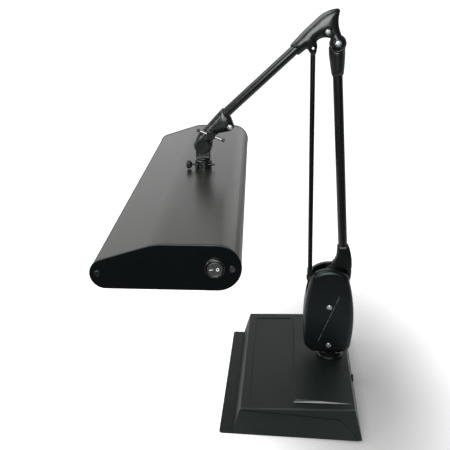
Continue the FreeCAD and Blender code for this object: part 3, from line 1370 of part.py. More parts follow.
def make_switch():
    switch_z = shade_top - dim.switchDrop
    front = -dim.shadeNear - dim.switchProud
    back = front + dim.switchProud + dim.switchDepth
    body = new_body("switch_body")
    pad(body, "XZ", front, -dim.shadeNear, circle(dim.switchAcross, switch_z, dim.switchRadius))
    fillet(body, dim.switchProud / 2,
           lambda edge: all(abs(v.Point.y - number(front)) < 1e-6 for v in edge.Vertexes))
    pad(body, "XZ", -dim.shadeNear, back, circle(dim.switchAcross, switch_z, dim.switchBody))
    pocket(body, "XZ", front - 1, front + dim.rockerDeep * 1.4,
           circle(dim.switchAcross, switch_z, dim.rockerRadius + dim.gap * 1.5))
    # two round holes for the ends of the rocker's axle
    pocket(body, "XY", switch_z - dim.axleReach - dim.gap, switch_z + dim.axleReach + dim.gap,
           circle(dim.switchAcross, front + dim.rockerDeep * 0.3, dim.rockerAxle + dim.runFit))
    done(on_head(body))
    rocker = new_body("rocker")
    radius = dim.rockerRadius
    ridge = -1.2
    pad(rocker, "XZ", ridge - 1.2, zero + 1.2, circle(zero, zero, radius))
    fall = radius * sine(dim.rockerTilt)
    wide = radius + 2
    pocket(rocker, "XY", -wide, wide,
           [line_to(zero, zero + ridge), line_to(-wide, zero + ridge + fall * 0.3),
            line_to(-wide, zero + ridge - 4), line_to(wide, zero + ridge - 4),
            line_to(wide, zero + ridge + fall * 0.3)])
    pad(rocker, "XY", -dim.axleReach, dim.axleReach, circle(zero, zero, dim.rockerAxle))
    on_head(rocker, dim.switchAcross, front + dim.rockerDeep * 0.3, switch_z)
    yaw = number(dim.shadeYaw) + number(dim.rockerTilt)
    rocker.setExpression("Placement.Rotation.Angle", None)
    rocker.Placement = Placement(rocker.Placement.Base, Rotation(Vector(0, 0, 1), yaw))
    done(rocker)


# ---------------------------------------------------------------- build, check, write

def build_all():
    for make in (make_mat, make_plate, make_cover, make_cover_screws, make_weight,
                 make_weight_screws, make_socket,
                 make_socket_screws, make_post_ring, make_bush, make_inlet, make_post,
                 make_swivel_clamp):
        make()
    make_housing_cover("housing_cover_near", -1)
    make_housing_cover("housing_cover_far", 1)
    make_housing_screws()
    make_spring_frame()
    make_pivot_parts()
    make_spring("lower_arm_spring", -1)
    make_spring("upper_arm_spring", 1)
    for make in (make_boot, make_lower_tube, make_clevis, make_crank, make_tie_rod, make_bracket,
                 make_elbow_parts, make_upper_tube, make_wrist, make_wrist_parts, make_knuckle,
                 make_head_collar, make_shell, make_caps, make_cap_screws, make_light, make_switch):
        make()
    doc.recompute()


def check_all():
    """Stops when a feature failed, cut nothing, or left an unusable shape."""
    for item in doc.Objects:
        if "Invalid" in item.State or "Error" in item.State:
            raise RuntimeError(f"{item.Name} failed: {item.State}")
    for cut in cuts:
        if cut.BaseFeature.Shape.Volume - cut.Shape.Volume < 1e-3:
            raise RuntimeError(f"{cut.Name} cuts nothing")
    for item in subparts:
        if item.Shape.isNull() or not item.Shape.isValid():
            raise RuntimeError(f"{item.Label} has no valid shape")


def write_all():
    os.makedirs("parts", exist_ok=True)
    for item in subparts:
        item.Shape.exportStep(f"parts/{item.Label}.step")
        print(f"{item.Label}: {len(item.Shape.Solids)} solids, {item.Shape.Volume / 1000:.1f} cm3")


build_all()
check_all()
write_all()
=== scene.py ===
import json
import math
import bmesh
import bpy
import numpy as np
from mathutils import Matrix, Vector


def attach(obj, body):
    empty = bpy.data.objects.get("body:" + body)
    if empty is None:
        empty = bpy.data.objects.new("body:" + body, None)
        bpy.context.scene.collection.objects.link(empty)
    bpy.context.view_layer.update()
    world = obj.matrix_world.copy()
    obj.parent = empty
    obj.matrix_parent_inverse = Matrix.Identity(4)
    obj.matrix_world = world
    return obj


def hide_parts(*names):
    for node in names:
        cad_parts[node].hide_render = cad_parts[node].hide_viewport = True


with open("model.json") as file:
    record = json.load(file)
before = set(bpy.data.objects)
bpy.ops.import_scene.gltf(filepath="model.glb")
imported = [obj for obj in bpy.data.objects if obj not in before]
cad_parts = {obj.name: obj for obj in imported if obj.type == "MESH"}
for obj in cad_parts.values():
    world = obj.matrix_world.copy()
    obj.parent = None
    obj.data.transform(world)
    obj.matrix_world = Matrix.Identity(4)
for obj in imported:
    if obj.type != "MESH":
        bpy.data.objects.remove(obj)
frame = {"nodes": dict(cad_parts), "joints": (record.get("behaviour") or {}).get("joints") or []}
nodes = frame["nodes"]
joints = {joint["name"]: joint for joint in frame["joints"]}
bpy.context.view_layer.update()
print("frame loaded with", len(nodes), "nodes")

scene = bpy.context.scene
scene.view_settings.view_transform = "Standard"

view = {"place": (-0.09043, -0.939, 0.655), "tilt": 68.43, "turn": 5.2635,
        "lens": 51.2, "sensor": 36}
cameraData = bpy.data.cameras.new("lampCamera")
cameraData.lens = view["lens"]
cameraData.sensor_width = view["sensor"]
camera = bpy.data.objects.new("lampCamera", cameraData)
camera.location = view["place"]
camera.rotation_euler = (math.radians(view["tilt"]), 0, math.radians(view["turn"]))
scene.collection.objects.link(camera)
scene.camera = camera


class Wire:  # one socket of a graph, on which plain arithmetic adds Math nodes
    def __init__(self, graph, socket):
        self.graph = graph
        self.socket = socket

    def combine(self, operation, first, second):
        return self.graph.node("ShaderNodeMath", {"operation": operation}, {0: first, 1: second})

    def __add__(self, other):
        return self.combine("ADD", self, other)

    def __radd__(self, other):
        return self.combine("ADD", other, self)

    def __sub__(self, other):
        return self.combine("SUBTRACT", self, other)

    def __rsub__(self, other):
        return self.combine("SUBTRACT", other, self)

    def __mul__(self, other):
        return self.combine("MULTIPLY", self, other)

    def __rmul__(self, other):
        return self.combine("MULTIPLY", other, self)

    def __abs__(self):
        return self.combine("ABSOLUTE", self, 0.0)


class Graph:  # the nodes of a material or of the world
    def __init__(self, tree):
        self.tree = tree

    def plug(self, socket, value):
        if isinstance(value, Wire):
            self.tree.links.new(value.socket, socket)
        else:
            socket.default_value = value

    def node(self, kind, settings=None, values=None, output=0):
        made = self.tree.nodes.new(kind)
        for key, value in (settings or {}).items():
            setattr(made, key, value)
        for key, value in (values or {}).items():
            self.plug(made.inputs[key], value)
        return Wire(self, made.outputs[output])

    def place(self, stretch=(1, 1, 1), middle=(0, 0, 0)):
        # Object coordinates, moved so that middle is the zero point, then stretched
        here = self.node("ShaderNodeTexCoord", output="Object")
        moved = self.node("ShaderNodeVectorMath", {"operation": "SUBTRACT"}, {0: here, 1: middle})
        return self.node("ShaderNodeMapping", None, {"Vector": moved, "Scale": stretch})

    def axes(self, where):
        # the three numbers of a place
        outputs = self.node("ShaderNodeSeparateXYZ", None, {0: where}).socket.node.outputs
        return Wire(self, outputs[0]), Wire(self, outputs[1]), Wire(self, outputs[2])

    def distance(self, where):
        return self.node("ShaderNodeVectorMath", {"operation": "LENGTH"}, {0: where}, "Value")

    def noise(self, scale, detail=2.0, rough=0.5, where=None):
        return self.node("ShaderNodeTexNoise", None,
                         {"Vector": where or self.place(), "Scale": scale,
                          "Detail": detail, "Roughness": rough})

    def blend(self, factor, first, second):
        # a colour between two others: sockets 6 and 7 and output 2 are the ones for colours
        first, second = [colour if isinstance(colour, Wire) else (*colour, 1)
                         for colour in (first, second)]
        return self.node("ShaderNodeMix", {"data_type": "RGBA"},
                         {"Factor": factor, 6: first, 7: second}, 2)

    def band(self, value, low, high):
        # 0 below low, 1 above high
        return self.node("ShaderNodeMapRange", {"interpolation_type": "SMOOTHSTEP"},
                         {"Value": value, "From Min": low, "From Max": high})

    def ray(self, kind):
        # 1 for a ray of this kind, such as Is Camera Ray
        return self.node("ShaderNodeLightPath", output=kind)


class Finish(Graph):  # a material and its Principled shader
    def __init__(self, name, fixed=None):
        self.material = bpy.data.materials.new(name)
        self.material.use_nodes = True
        super().__init__(self.material.node_tree)
        self.shader = self.tree.nodes["Principled BSDF"]
        for socketName, value in (fixed or {}).items():
            self.feed(socketName, value)

    def feed(self, socketName, value):
        self.plug(self.shader.inputs[socketName], value)

    def bump(self, height, depth):
        self.feed("Normal", self.node("ShaderNodeBump", None,
                                      {"Height": height, "Distance": depth}))


finishes = {}
noiseMiddle = 0.5  # the level that a noise goes above and below
paintGrain = {"cloudDetail": 3, "cloudLow": 0.3, "cloudHigh": 0.7,
              "fineDetail": 2, "fineRough": 0.6, "fineShare": 0.7}


def painted(name, dark, light, rough, spread, grain, depth, cloud=9.0, specular=0.5,
            tint=(1, 1, 1)):
    # paint or plastic: a fine moulded or sprayed grain, with slow clouds in tone and gloss
    finish = Finish(name, {"Specular IOR Level": specular, "Specular Tint": (*tint, 1)})
    slow = finish.noise(cloud, paintGrain["cloudDetail"])
    fine = finish.noise(grain, paintGrain["fineDetail"], paintGrain["fineRough"])
    clouds = finish.band(slow, paintGrain["cloudLow"], paintGrain["cloudHigh"])
    finish.colour = finish.blend(clouds, dark, light)
    finish.feed("Base Color", finish.colour)
    finish.feed("Roughness", rough + spread * (slow - noiseMiddle)
                + spread * paintGrain["fineShare"] * (fine - noiseMiddle))
    finish.bump(fine, depth)
    finishes[name] = finish


paints = {
    "coverPlastic": {"dark": (0.0032, 0.0052, 0.0044), "light": (0.0048, 0.0072, 0.0062),
                     "rough": 0.47, "spread": 0.12, "grain": 1500, "depth": 0.00012,
                     "specular": 0.28, "tint": (0.86, 1, 0.91)},
    "platePaint": {"dark": (0.0044, 0.0058, 0.0056), "light": (0.0064, 0.0082, 0.008),
                   "rough": 0.42, "spread": 0.12, "grain": 1400, "depth": 0.00004,
                   "specular": 0.2, "tint": (0.88, 1, 0.96)},
    "housingPlastic": {"dark": (0.0012, 0.0019, 0.002), "light": (0.0019, 0.0027, 0.0028),
                       "rough": 0.32, "spread": 0.1, "grain": 1700, "depth": 0.00006,
                       "specular": 0.32, "tint": (0.84, 1, 1)},
    "shadePaint": {"dark": (0.0078, 0.0088, 0.0072), "light": (0.0102, 0.0114, 0.0096),
                   "rough": 0.3, "spread": 0.06, "grain": 1900, "depth": 0.00002, "cloud": 5.0,
                   "tint": (0.965, 1, 0.925)},
    "capPlastic": {"dark": (0.0006, 0.0012, 0.0012), "light": (0.0012, 0.0018, 0.0019),
                   "rough": 0.28, "spread": 0.1, "grain": 1900, "depth": 0.00004,
                   "specular": 0.35, "tint": (0.9, 1, 0.99)},
    "castingPaint": {"dark": (0.003, 0.0037, 0.0039), "light": (0.005, 0.006, 0.0062),
                     "rough": 0.3, "spread": 0.1, "grain": 520, "depth": 0.00006, "cloud": 30.0,
                     "specular": 0.6, "tint": (0.94, 1, 0.97)},
    # painted shade: the boot's paint is the casting paint made darker and duller, for the shade
    # the boot stands in
    "shadedBootPaint": {"dark": (0.0012, 0.0018, 0.0019), "light": (0.002, 0.0028, 0.003),
                  "rough": 0.34, "spread": 0.1, "grain": 520, "depth": 0.00005, "cloud": 30.0,
                  "specular": 0.35},
    "tubePaint": {"dark": (0.0026, 0.0031, 0.0033), "light": (0.0042, 0.0048, 0.005),
                  "rough": 0.25, "spread": 0.08, "grain": 1200, "depth": 0.00002,
                  "tint": (0.95, 1, 0.95)},
    "rodPaint": {"dark": (0.002, 0.0025, 0.0025), "light": (0.003, 0.0035, 0.0036),
                 "rough": 0.28, "spread": 0.08, "grain": 1200, "depth": 0.00001,
                 "specular": 0.25},
    "blackOxide": {"dark": (0.0025, 0.0028, 0.003), "light": (0.0045, 0.005, 0.0054),
                   "rough": 0.32, "spread": 0.14, "grain": 1500, "depth": 0.00003,
                   "specular": 0.3},
    "rubber": {"dark": (0.012, 0.012, 0.0115), "light": (0.02, 0.02, 0.019),
               "rough": 0.85, "spread": 0.12, "grain": 1100, "depth": 0.00012},
    "switchPlastic": {"dark": (0.0035, 0.0037, 0.004), "light": (0.0055, 0.0058, 0.006),
                      "rough": 0.26, "spread": 0.1, "grain": 1500, "depth": 0.00002},
    "rockerPlastic": {"dark": (0.022, 0.023, 0.024), "light": (0.032, 0.033, 0.034),
                      "rough": 0.36, "spread": 0.1, "grain": 1500, "depth": 0.00002},
    "switchMark": {"dark": (0.85, 0.85, 0.85), "light": (0.9, 0.9, 0.9),
                   "rough": 0.5, "spread": 0.1, "grain": 1500, "depth": 0.00001},
    "nylon": {"dark": (0.62, 0.61, 0.56), "light": (0.7, 0.69, 0.65),
              "rough": 0.4, "spread": 0.1, "grain": 700, "depth": 0.00003},
    "stripCoat": {"dark": (0.78, 0.74, 0.55), "light": (0.85, 0.83, 0.7),
                  "rough": 0.5, "spread": 0.1, "grain": 900, "depth": 0.00003},
    "driverCase": {"dark": (0.72, 0.72, 0.71), "light": (0.78, 0.78, 0.77),
                   "rough": 0.45, "spread": 0.1, "grain": 1200, "depth": 0.00004},
    "diffuserPlastic": {"dark": (0.8, 0.8, 0.78), "light": (0.84, 0.84, 0.825),
                        "rough": 0.5, "spread": 0.1, "grain": 1400, "depth": 0.00004},
}
for finishName, paint in paints.items():
    painted(finishName, **paint)

metalGrain = {"drawnDetail": 3, "drawnRough": 0.6, "drawnSpread": 0.16,
              "cloud": 60, "cloudDetail": 2, "cloudLow": 0.35, "cloudHigh": 0.65,
              "cloudSpread": 0.1}


def metal(name, dark, light, rough, stretch=(1, 1, 1), grain=900.0, depth=0.00002, metallic=1.0):
    # bare or plated metal with a drawn or cast grain
    finish = Finish(name, {"Metallic": metallic})
    drawn = finish.noise(grain, metalGrain["drawnDetail"], metalGrain["drawnRough"],
                         finish.place(stretch))
    slow = finish.noise(metalGrain["cloud"], metalGrain["cloudDetail"])
    clouds = finish.band(slow, metalGrain["cloudLow"], metalGrain["cloudHigh"])
    finish.feed("Base Color", finish.blend(clouds, dark, light))
    finish.feed("Roughness", rough + metalGrain["drawnSpread"] * (drawn - noiseMiddle)
                + metalGrain["cloudSpread"] * (slow - noiseMiddle))
    finish.bump(drawn, depth)
    finishes[name] = finish


metals = {
    "zinc": {"dark": (0.2, 0.215, 0.23), "light": (0.32, 0.335, 0.35), "rough": 0.4,
             "metallic": 0.9},
    "brightScrew": {"dark": (0.3, 0.32, 0.34), "light": (0.46, 0.48, 0.5), "rough": 0.36,
                    "metallic": 0.9},
    "darkScrew": {"dark": (0.1, 0.105, 0.11), "light": (0.2, 0.205, 0.21), "rough": 0.3},
    "steel": {"dark": (0.38, 0.38, 0.39), "light": (0.5, 0.5, 0.5), "rough": 0.34},
    "chrome": {"dark": (0.55, 0.55, 0.57), "light": (0.62, 0.62, 0.63), "rough": 0.14,
               "stretch": (1, 1, 12)},
    "springWire": {"dark": (0.3, 0.3, 0.31), "light": (0.42, 0.42, 0.43), "rough": 0.32},
    "brassy": {"dark": (0.3, 0.23, 0.11), "light": (0.42, 0.33, 0.17), "rough": 0.4},
    "castIron": {"dark": (0.06, 0.055, 0.05), "light": (0.11, 0.1, 0.095), "rough": 0.7,
                 "grain": 300, "depth": 0.0003},
    "ledAluminium": {"dark": (0.6, 0.6, 0.61), "light": (0.72, 0.72, 0.72), "rough": 0.4,
                     "stretch": (12, 1, 1)},
}
for finishName, kind in metals.items():
    metal(finishName, **kind)

# the near facet of the deck and the near top edge of the cover shine more than the rest
polish = {"slope": 0.047, "rough": 0.2, "fade": 0.0003, "thinFade": 0.0002,
          "facetLow": 0.0534, "facetHigh": 0.0547, "facetNear": -0.1317, "facetCoat": 0.75,
          "edgeLow": 0.0514, "edgeNear": -0.1468, "edgeCoat": 1.0}


def polishCover(cover):
    x, y, z = cover.axes(cover.place())
    level = z - polish["slope"] * x  # the cover's top rises from front to back
    facet = cover.band(level, polish["facetLow"], polish["facetLow"] + polish["fade"])
    facet = facet * (1 - cover.band(z, polish["facetHigh"],
                                    polish["facetHigh"] + polish["thinFade"]))
    facet = facet * (1 - cover.band(y, polish["facetNear"] - polish["fade"],
                                    polish["facetNear"]))
    edge = cover.band(level, polish["edgeLow"], polish["edgeLow"] + polish["thinFade"])
    edge = edge * (1 - cover.band(y, polish["edgeNear"] - polish["thinFade"],
                                  polish["edgeNear"]))
    cover.feed("Coat Roughness", polish["rough"])
    cover.feed("Coat Weight", facet * polish["facetCoat"] + edge * polish["edgeCoat"])


polishCover(finishes["coverPlastic"])

# a long fine scratch across the near face of the spring housing, its ends given as (x, z)
scratch = {"top": (0.0091, 0.1773), "bottom": (-0.0221, 0.0906), "width": 0.00035,
           "colour": (0.16, 0.165, 0.17), "taper": 0.004,
           "gaps": 220, "gapLow": 0.35, "gapHigh": 0.5, "nearFace": -0.004, "inside": -0.002}


def scratchHousing(housing):
    along = Vector(scratch["top"]) - Vector(scratch["bottom"])
    length = along.length
    along.normalize()
    start = (scratch["bottom"][0], 0, scratch["bottom"][1])
    x, y, z = housing.axes(housing.place(middle=start))
    aside = abs(x * -along.y + z * along.x)
    reach = x * along.x + z * along.y
    line = 1 - housing.band(aside, scratch["width"] / 2, scratch["width"])
    line = line * housing.band(housing.noise(scratch["gaps"]),
                               scratch["gapLow"], scratch["gapHigh"])
    line = line * housing.band(reach, 0, scratch["taper"])
    line = line * (1 - housing.band(reach, length - scratch["taper"], length))
    line = line * (1 - housing.band(y, scratch["nearFace"], scratch["inside"]))
    housing.feed("Base Color", housing.blend(line, housing.colour, scratch["colour"]))


scratchHousing(finishes["housingPlastic"])

# the clamp's cross handle is bright steel with black ends
handle = {"bright": 0.0165, "fade": 0.0006, "steel": (0.3, 0.3, 0.31),
          "black": (0.006, 0.006, 0.0065), "rough": 0.26, "spread": 0.1, "grain": 700}


def addHandleSteel():
    finish = Finish("handleSteel")
    fromAxis = finish.distance(finish.place((1, 0, 1), joints["clamp_turn"]["pos_m"]))
    black = finish.band(fromAxis, handle["bright"], handle["bright"] + handle["fade"])
    finish.feed("Base Color", finish.blend(black, handle["steel"], handle["black"]))
    finish.feed("Metallic", 1 - black)
    finish.feed("Roughness", handle["rough"] + handle["spread"] * finish.noise(handle["grain"]))
    finishes["handleSteel"] = finish


addHandleSteel()
print("finishes made:", len(finishes))

wearing = {
    "rubber": ["rubber_mat"],
    "platePaint": ["base_plate", "crank_lever"],
    "coverPlastic": ["base_cover", "power_inlet"],
    "zinc": ["cover_screws", "weight_screws", "socket_screws", "elbow_clamp_screw"],
    "brightScrew": ["housing_screws", "wrist_tube_screw", "elbow_bolt"],
    "castIron": ["base_weight"],
    "steel": ["post_socket", "spring_frame", "main_pivot_bolt", "spring_anchor_pin",
              "tie_rod_pin", "retaining_clip", "collar_nut"],
    "blackOxide": ["post_ring", "swivel_clamp", "swivel_clamp_screw", "tilt_bolt", "clamp_nut",
                   "clamp_screw", "pinch_screw"],
    "darkScrew": ["cap_screws"],
    "handleSteel": ["clamp_handle"],
    "nylon": ["pivot_spacers"],
    "chrome": ["swivel_post"],
    "housingPlastic": ["housing_cover_near", "housing_cover_far"],
    "springWire": ["lower_arm_spring", "upper_arm_spring"],
    "shadedBootPaint": ["boot_casting"],
    "castingPaint": ["lower_clevis", "elbow_bracket", "wrist_casting", "tilt_knuckle",
                     "shade_collar", "rod_lower_fork"],
    "tubePaint": ["lower_tube", "upper_tube"],
    "rodPaint": ["tie_rod_tube", "rod_upper_eye"],
    "brassy": ["crank_pin"],
    "shadePaint": ["shade_shell"],
    "capPlastic": ["end_cap_near", "end_cap_far"],
    "ledAluminium": ["led_plate"],
    "stripCoat": ["led_strips"],
    "driverCase": ["led_driver"],
    "diffuserPlastic": ["diffuser"],
    "switchPlastic": ["switch_body", "rocker", "post_bush"],
}
dressed = set()
for finishName, members in wearing.items():
    for member in members:
        slots = nodes[member].data.materials
        slots.clear()
        slots.append(finishes[finishName].material)
        dressed.add(member)
print("finishes given to", len(dressed), "nodes; left:", sorted(set(nodes) - dressed))

mergeDistance = 1e-6
millimetre = 0.001


def nodeShape(nodeName):
    # a copy of a node's mesh, with its loose triangles joined
    shape = bmesh.new()
    shape.from_mesh(nodes[nodeName].data)
    bmesh.ops.remove_doubles(shape, verts=shape.verts, dist=mergeDistance)
    return shape


def addPiece(name, shape, body, finishName, stands=(), smooth=40):
    # turns a bmesh into a piece that rides on a body
    bmesh.ops.recalc_face_normals(shape, faces=shape.faces)
    mesh = bpy.data.meshes.new(name)
    shape.to_mesh(mesh)
    shape.free()
    mesh.shade_smooth()
    mesh.set_sharp_from_angle(angle=math.radians(smooth))
    mesh.materials.append(finishes[finishName].material)
    piece = bpy.data.objects.new(name, mesh)
    scene.collection.objects.link(piece)
    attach(piece, body)
    if stands:
        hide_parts(*stands)
    return piece


def spun(profile, steps):
    # turns an outline of (radius, height) round the Z axis
    shape = bmesh.new()
    rim = [shape.verts.new((radius, 0, height)) for radius, height in profile]
    lines = [shape.edges.new(pair) for pair in zip(rim, rim[1:])]
    bmesh.ops.spin(shape, geom=rim + lines, cent=(0, 0, 0), axis=(0, 0, 1),
                   angle=math.tau, steps=steps, use_merge=True)
    bmesh.ops.remove_doubles(shape, verts=shape.verts, dist=mergeDistance)
    bmesh.ops.recalc_face_normals(shape, faces=shape.faces)
    return shape


def joinInto(whole, part, matrix):
    # moves a finished shape into place and adds it to the whole
    bmesh.ops.transform(part, matrix=matrix, verts=part.verts)
    mesh = bpy.data.meshes.new("part")
    part.to_mesh(mesh)
    part.free()
    whole.from_mesh(mesh)
    bpy.data.meshes.remove(mesh)


# a moulding and a plate with their outer edges rounded by a small radius
edges = {
    "coverMoulding": {"node": "base_cover", "body": "base", "finish": "coverPlastic",
                      "slot": "cover", "round": 0.0006, "angle": 14, "smooth": 13},
    "plateMoulding": {"node": "base_plate", "body": "base", "finish": "platePaint",
                      "slot": "plate", "round": 0.0006, "angle": 20, "smooth": 18},
}
flatAngle = 0.4  # triangles that meet at less than this many degrees are one face
roundSegments = 3


def edged(pieceName, edge):
    shape = nodeShape(edge["node"])
    bmesh.ops.dissolve_limit(shape, angle_limit=math.radians(flatAngle), verts=shape.verts,
                             edges=shape.edges, delimit=set())
    strip = shape.edges.layers.int.new("strip")
    sharp = [item for item in shape.edges
             if item.is_manifold and item.calc_face_angle_signed() > math.radians(edge["angle"])]
    made = bmesh.ops.bevel(shape, geom=sharp, offset=edge["round"], offset_type="OFFSET",
                           segments=roundSegments, profile=0.5, affect="EDGES",
                           clamp_overlap=True, material=-1)
    for face in made["faces"]:
        for item in face.edges:
            item[strip] = int(item.calc_length() > edge["round"])
    piece = addPiece(pieceName, shape, edge["body"], edge["finish"],
                     [edge["node"]], edge["smooth"])
    # each strip of a rounded edge is shaded on its own, so that the flat faces stay flat
    mesh = piece.data
    for item, flag in zip(mesh.edges, mesh.attributes["strip"].data):
        item.use_edge_sharp = item.use_edge_sharp or flag.value > 0
    mesh.attributes.remove(mesh.attributes["strip"])
    print(pieceName, "has", len(sharp), "rounded edges")


for pieceName, edge in edges.items():
    edged(pieceName, edge)
print("edges rounded")

# screws with a cross recess, seated where their nodes are
screwKinds = {
    "housingScrews": {"node": "housing_screws", "body": "swivel", "finish": "brightScrew"},
    "elbowClampScrew": {"node": "elbow_clamp_screw", "body": "upper_arm", "finish": "zinc",
                        "out": -1},
    "wristTubeScrew": {"node": "wrist_tube_screw", "body": "upper_arm", "finish": "brightScrew",
                       "out": -1},
    "elbowPivotBolt": {"node": "elbow_bolt", "body": "upper_arm", "finish": "brightScrew",
                       "out": -1, "shank": 0.0028},
    "capScrews": {"node": "cap_screws", "body": "head", "finish": "darkScrew", "head": "flush"},
}
# outlines of heads, as shares of the head's radius and height
headShapes = {
    "domed": [(0.96, 0.0), (1.0, 0.22), (0.93, 0.55), (0.74, 0.84), (0.5, 0.97), (0.25, 1.0),
              (0, 1.0)],
    "flush": [(0.98, 0.0), (1.0, 0.5), (0.95, 0.64), (0.87, 0.62), (0.8, 0.42), (0.4, 0.42),
              (0, 0.42)],
}
# how a screw is measured on its node, spun and cut: endBand and cutDistance are lengths
screwCut = {"endBand": 0.0004, "underHead": 0.8, "flatHead": 0.4, "steps": 40, "smooth": 30,
            "arm": 0.55, "half": 0.13, "depth": 0.4, "taper": 0.8,
            "topShare": 0.9, "facesUp": 0.7, "cutDistance": 1e-7}


def solidsOf(nodeName):
    # the points of each separate solid in a node
    shape = nodeShape(nodeName)
    found = []
    seen = set()
    for first in shape.verts:
        if first in seen:
            continue
        seen.add(first)
        island = [first]
        for vert in island:
            for link in vert.link_edges:
                other = link.other_vert(vert)
                if other not in seen:
                    seen.add(other)
                    island.append(other)
        found.append([vert.co.copy() for vert in island])
    shape.free()
    return found


def corners(points):
    # the lowest and the highest corner of the box round some points
    return (Vector([min(point[axis] for point in points) for axis in range(3)]),
            Vector([max(point[axis] for point in points) for axis in range(3)]))


def endOf(solid, height):
    # the middle and the radius of the end that a solid has at this height along Y
    low, high = corners([point for point in solid
                         if abs(point.y - height) < screwCut["endBand"]])
    return Vector(((low.x + high.x) / 2, height, (low.z + high.z) / 2)), (high.z - low.z) / 2


def headHeight(solid, tip, radius):
    # how far the underside of the head, next to the shank, lies from its tip
    heights = []
    for point in solid:
        aside = Vector((point.x - tip.x, 0, point.z - tip.z)).length
        height = abs(point.y - tip.y)
        if aside < radius * screwCut["underHead"] and height > screwCut["endBand"]:
            heights.append(height)
    return min(heights, default=radius * screwCut["flatHead"])


def crossRecess(shape, top, arm, half, depth):
    # sinks a cross into the flat top of a screw head
    for axis in ((1, 0, 0), (0, 1, 0)):
        for offset in (-arm, -half, half, arm):
            bmesh.ops.bisect_plane(shape, geom=shape.verts[:] + shape.edges[:] + shape.faces[:],
                                   plane_co=Vector(axis) * offset, plane_no=axis,
                                   dist=screwCut["cutDistance"])
    crossFaces = []
    for face in shape.faces:
        middle = face.calc_center_median()
        inX = abs(middle.x) < half and abs(middle.y) < arm
        inY = abs(middle.y) < half and abs(middle.x) < arm
        onTop = middle.z > top * screwCut["topShare"] and face.normal.z > screwCut["facesUp"]
        if onTop and (inX or inY):
            crossFaces.append(face)
    sunk = bmesh.ops.extrude_face_region(shape, geom=crossFaces)
    moved = [item for item in sunk["geom"] if isinstance(item, bmesh.types.BMVert)]
    bmesh.ops.translate(shape, verts=moved, vec=(0, 0, -depth))
    bmesh.ops.scale(shape, verts=moved, vec=(screwCut["taper"], screwCut["taper"], 1))
    left = [face for face in crossFaces if face.is_valid]
    bmesh.ops.delete(shape, geom=left, context="FACES")


def addScrew(whole, solid, kind):
    # one screw or bolt in the place of a solid of its node
    low, high = corners(solid)
    out = kind.get("out") or (-1 if low.y + high.y < 0 else 1)
    tip, radius = endOf(solid, low.y if out < 0 else high.y)
    foot, footRadius = endOf(solid, high.y if out < 0 else low.y)
    height = headHeight(solid, tip, radius)
    shank = kind.get("shank") or footRadius
    reach = (tip - foot).length
    headShape = headShapes[kind.get("head", "domed")]
    profile = [(shank, height - reach), (shank, 0)]
    profile += [(radius * share, height * rise) for share, rise in headShape]
    if "shank" in kind:
        # a pivot bolt has a riveted head at its far end too
        profile = [(radius * share, height * (1 - rise) - reach)
                   for share, rise in headShape[::-1]] + profile
    else:
        profile = [(0, height - reach)] + profile
    screw = spun(profile, screwCut["steps"])
    crossRecess(screw, height * headShape[-1][1], radius * screwCut["arm"],
                radius * screwCut["half"], height * screwCut["depth"])
    direction = (tip - foot).normalized()
    turn = direction.to_track_quat("Z", "X").to_matrix().to_4x4()
    joinInto(whole, screw, Matrix.Translation(tip - direction * height) @ turn)


for pieceName, kind in screwKinds.items():
    screws = bmesh.new()
    for solid in solidsOf(kind["node"]):
        addScrew(screws, solid, kind)
    addPiece(pieceName, screws, kind["body"], kind["finish"],
             [kind["node"]], screwCut["smooth"])
print("screws made")

# castings with their edges rounded over and their cheeks crowned: crown is how far inside the
# outline a cheek has its full thickness, and least is the share of it left at the outline
castings = {
    "elbowCasting": {"node": "elbow_bracket", "body": "upper_arm", "crown": 0.0165, "least": 0.1},
    "wristCasting": {"node": "wrist_casting", "body": "upper_arm", "crown": 0.014, "least": 0.1},
    # the boot takes the darker copy of the casting paint, which is painted shade
    "bootCasting": {"node": "boot_casting", "body": "lower_arm", "crown": 0.007, "least": 0.4,
                    "finish": "shadedBootPaint"},
    "clevisCasting": {"node": "lower_clevis", "body": "lower_arm", "crown": 0.007, "least": 0.4},
    "knuckleCasting": {"node": "tilt_knuckle", "body": "knuckle", "crown": 0.003, "least": 0.8},
}
castingSkin = {"finish": "castingPaint", "voxel": 0.0006, "before": 5, "after": 4,
               "relax": 0.5, "smooth": 80, "cell": 0.0008, "margin": 6, "blur": 2.2}


def evened(nodeName):
    # a node's shape, remeshed into small even faces
    shape = nodeShape(nodeName)
    mesh = bpy.data.meshes.new(nodeName + "Rough")
    shape.to_mesh(mesh)
    shape.free()
    rough = bpy.data.objects.new(nodeName + "Rough", mesh)
    scene.collection.objects.link(rough)
    remesh = rough.modifiers.new("remesh", "REMESH")
    remesh.mode = "VOXEL"
    remesh.voxel_size = castingSkin["voxel"]
    remeshed = rough.evaluated_get(bpy.context.evaluated_depsgraph_get())
    even = bpy.data.meshes.new_from_object(remeshed)
    bpy.data.objects.remove(rough)
    shape = bmesh.new()
    shape.from_mesh(even)
    return shape


def relaxed(shape, times):
    # rounds the edges over, a little each time
    for _ in range(times):
        bmesh.ops.smooth_vert(shape, verts=shape.verts, factor=castingSkin["relax"],
                              use_axis_x=True, use_axis_y=True, use_axis_z=True)


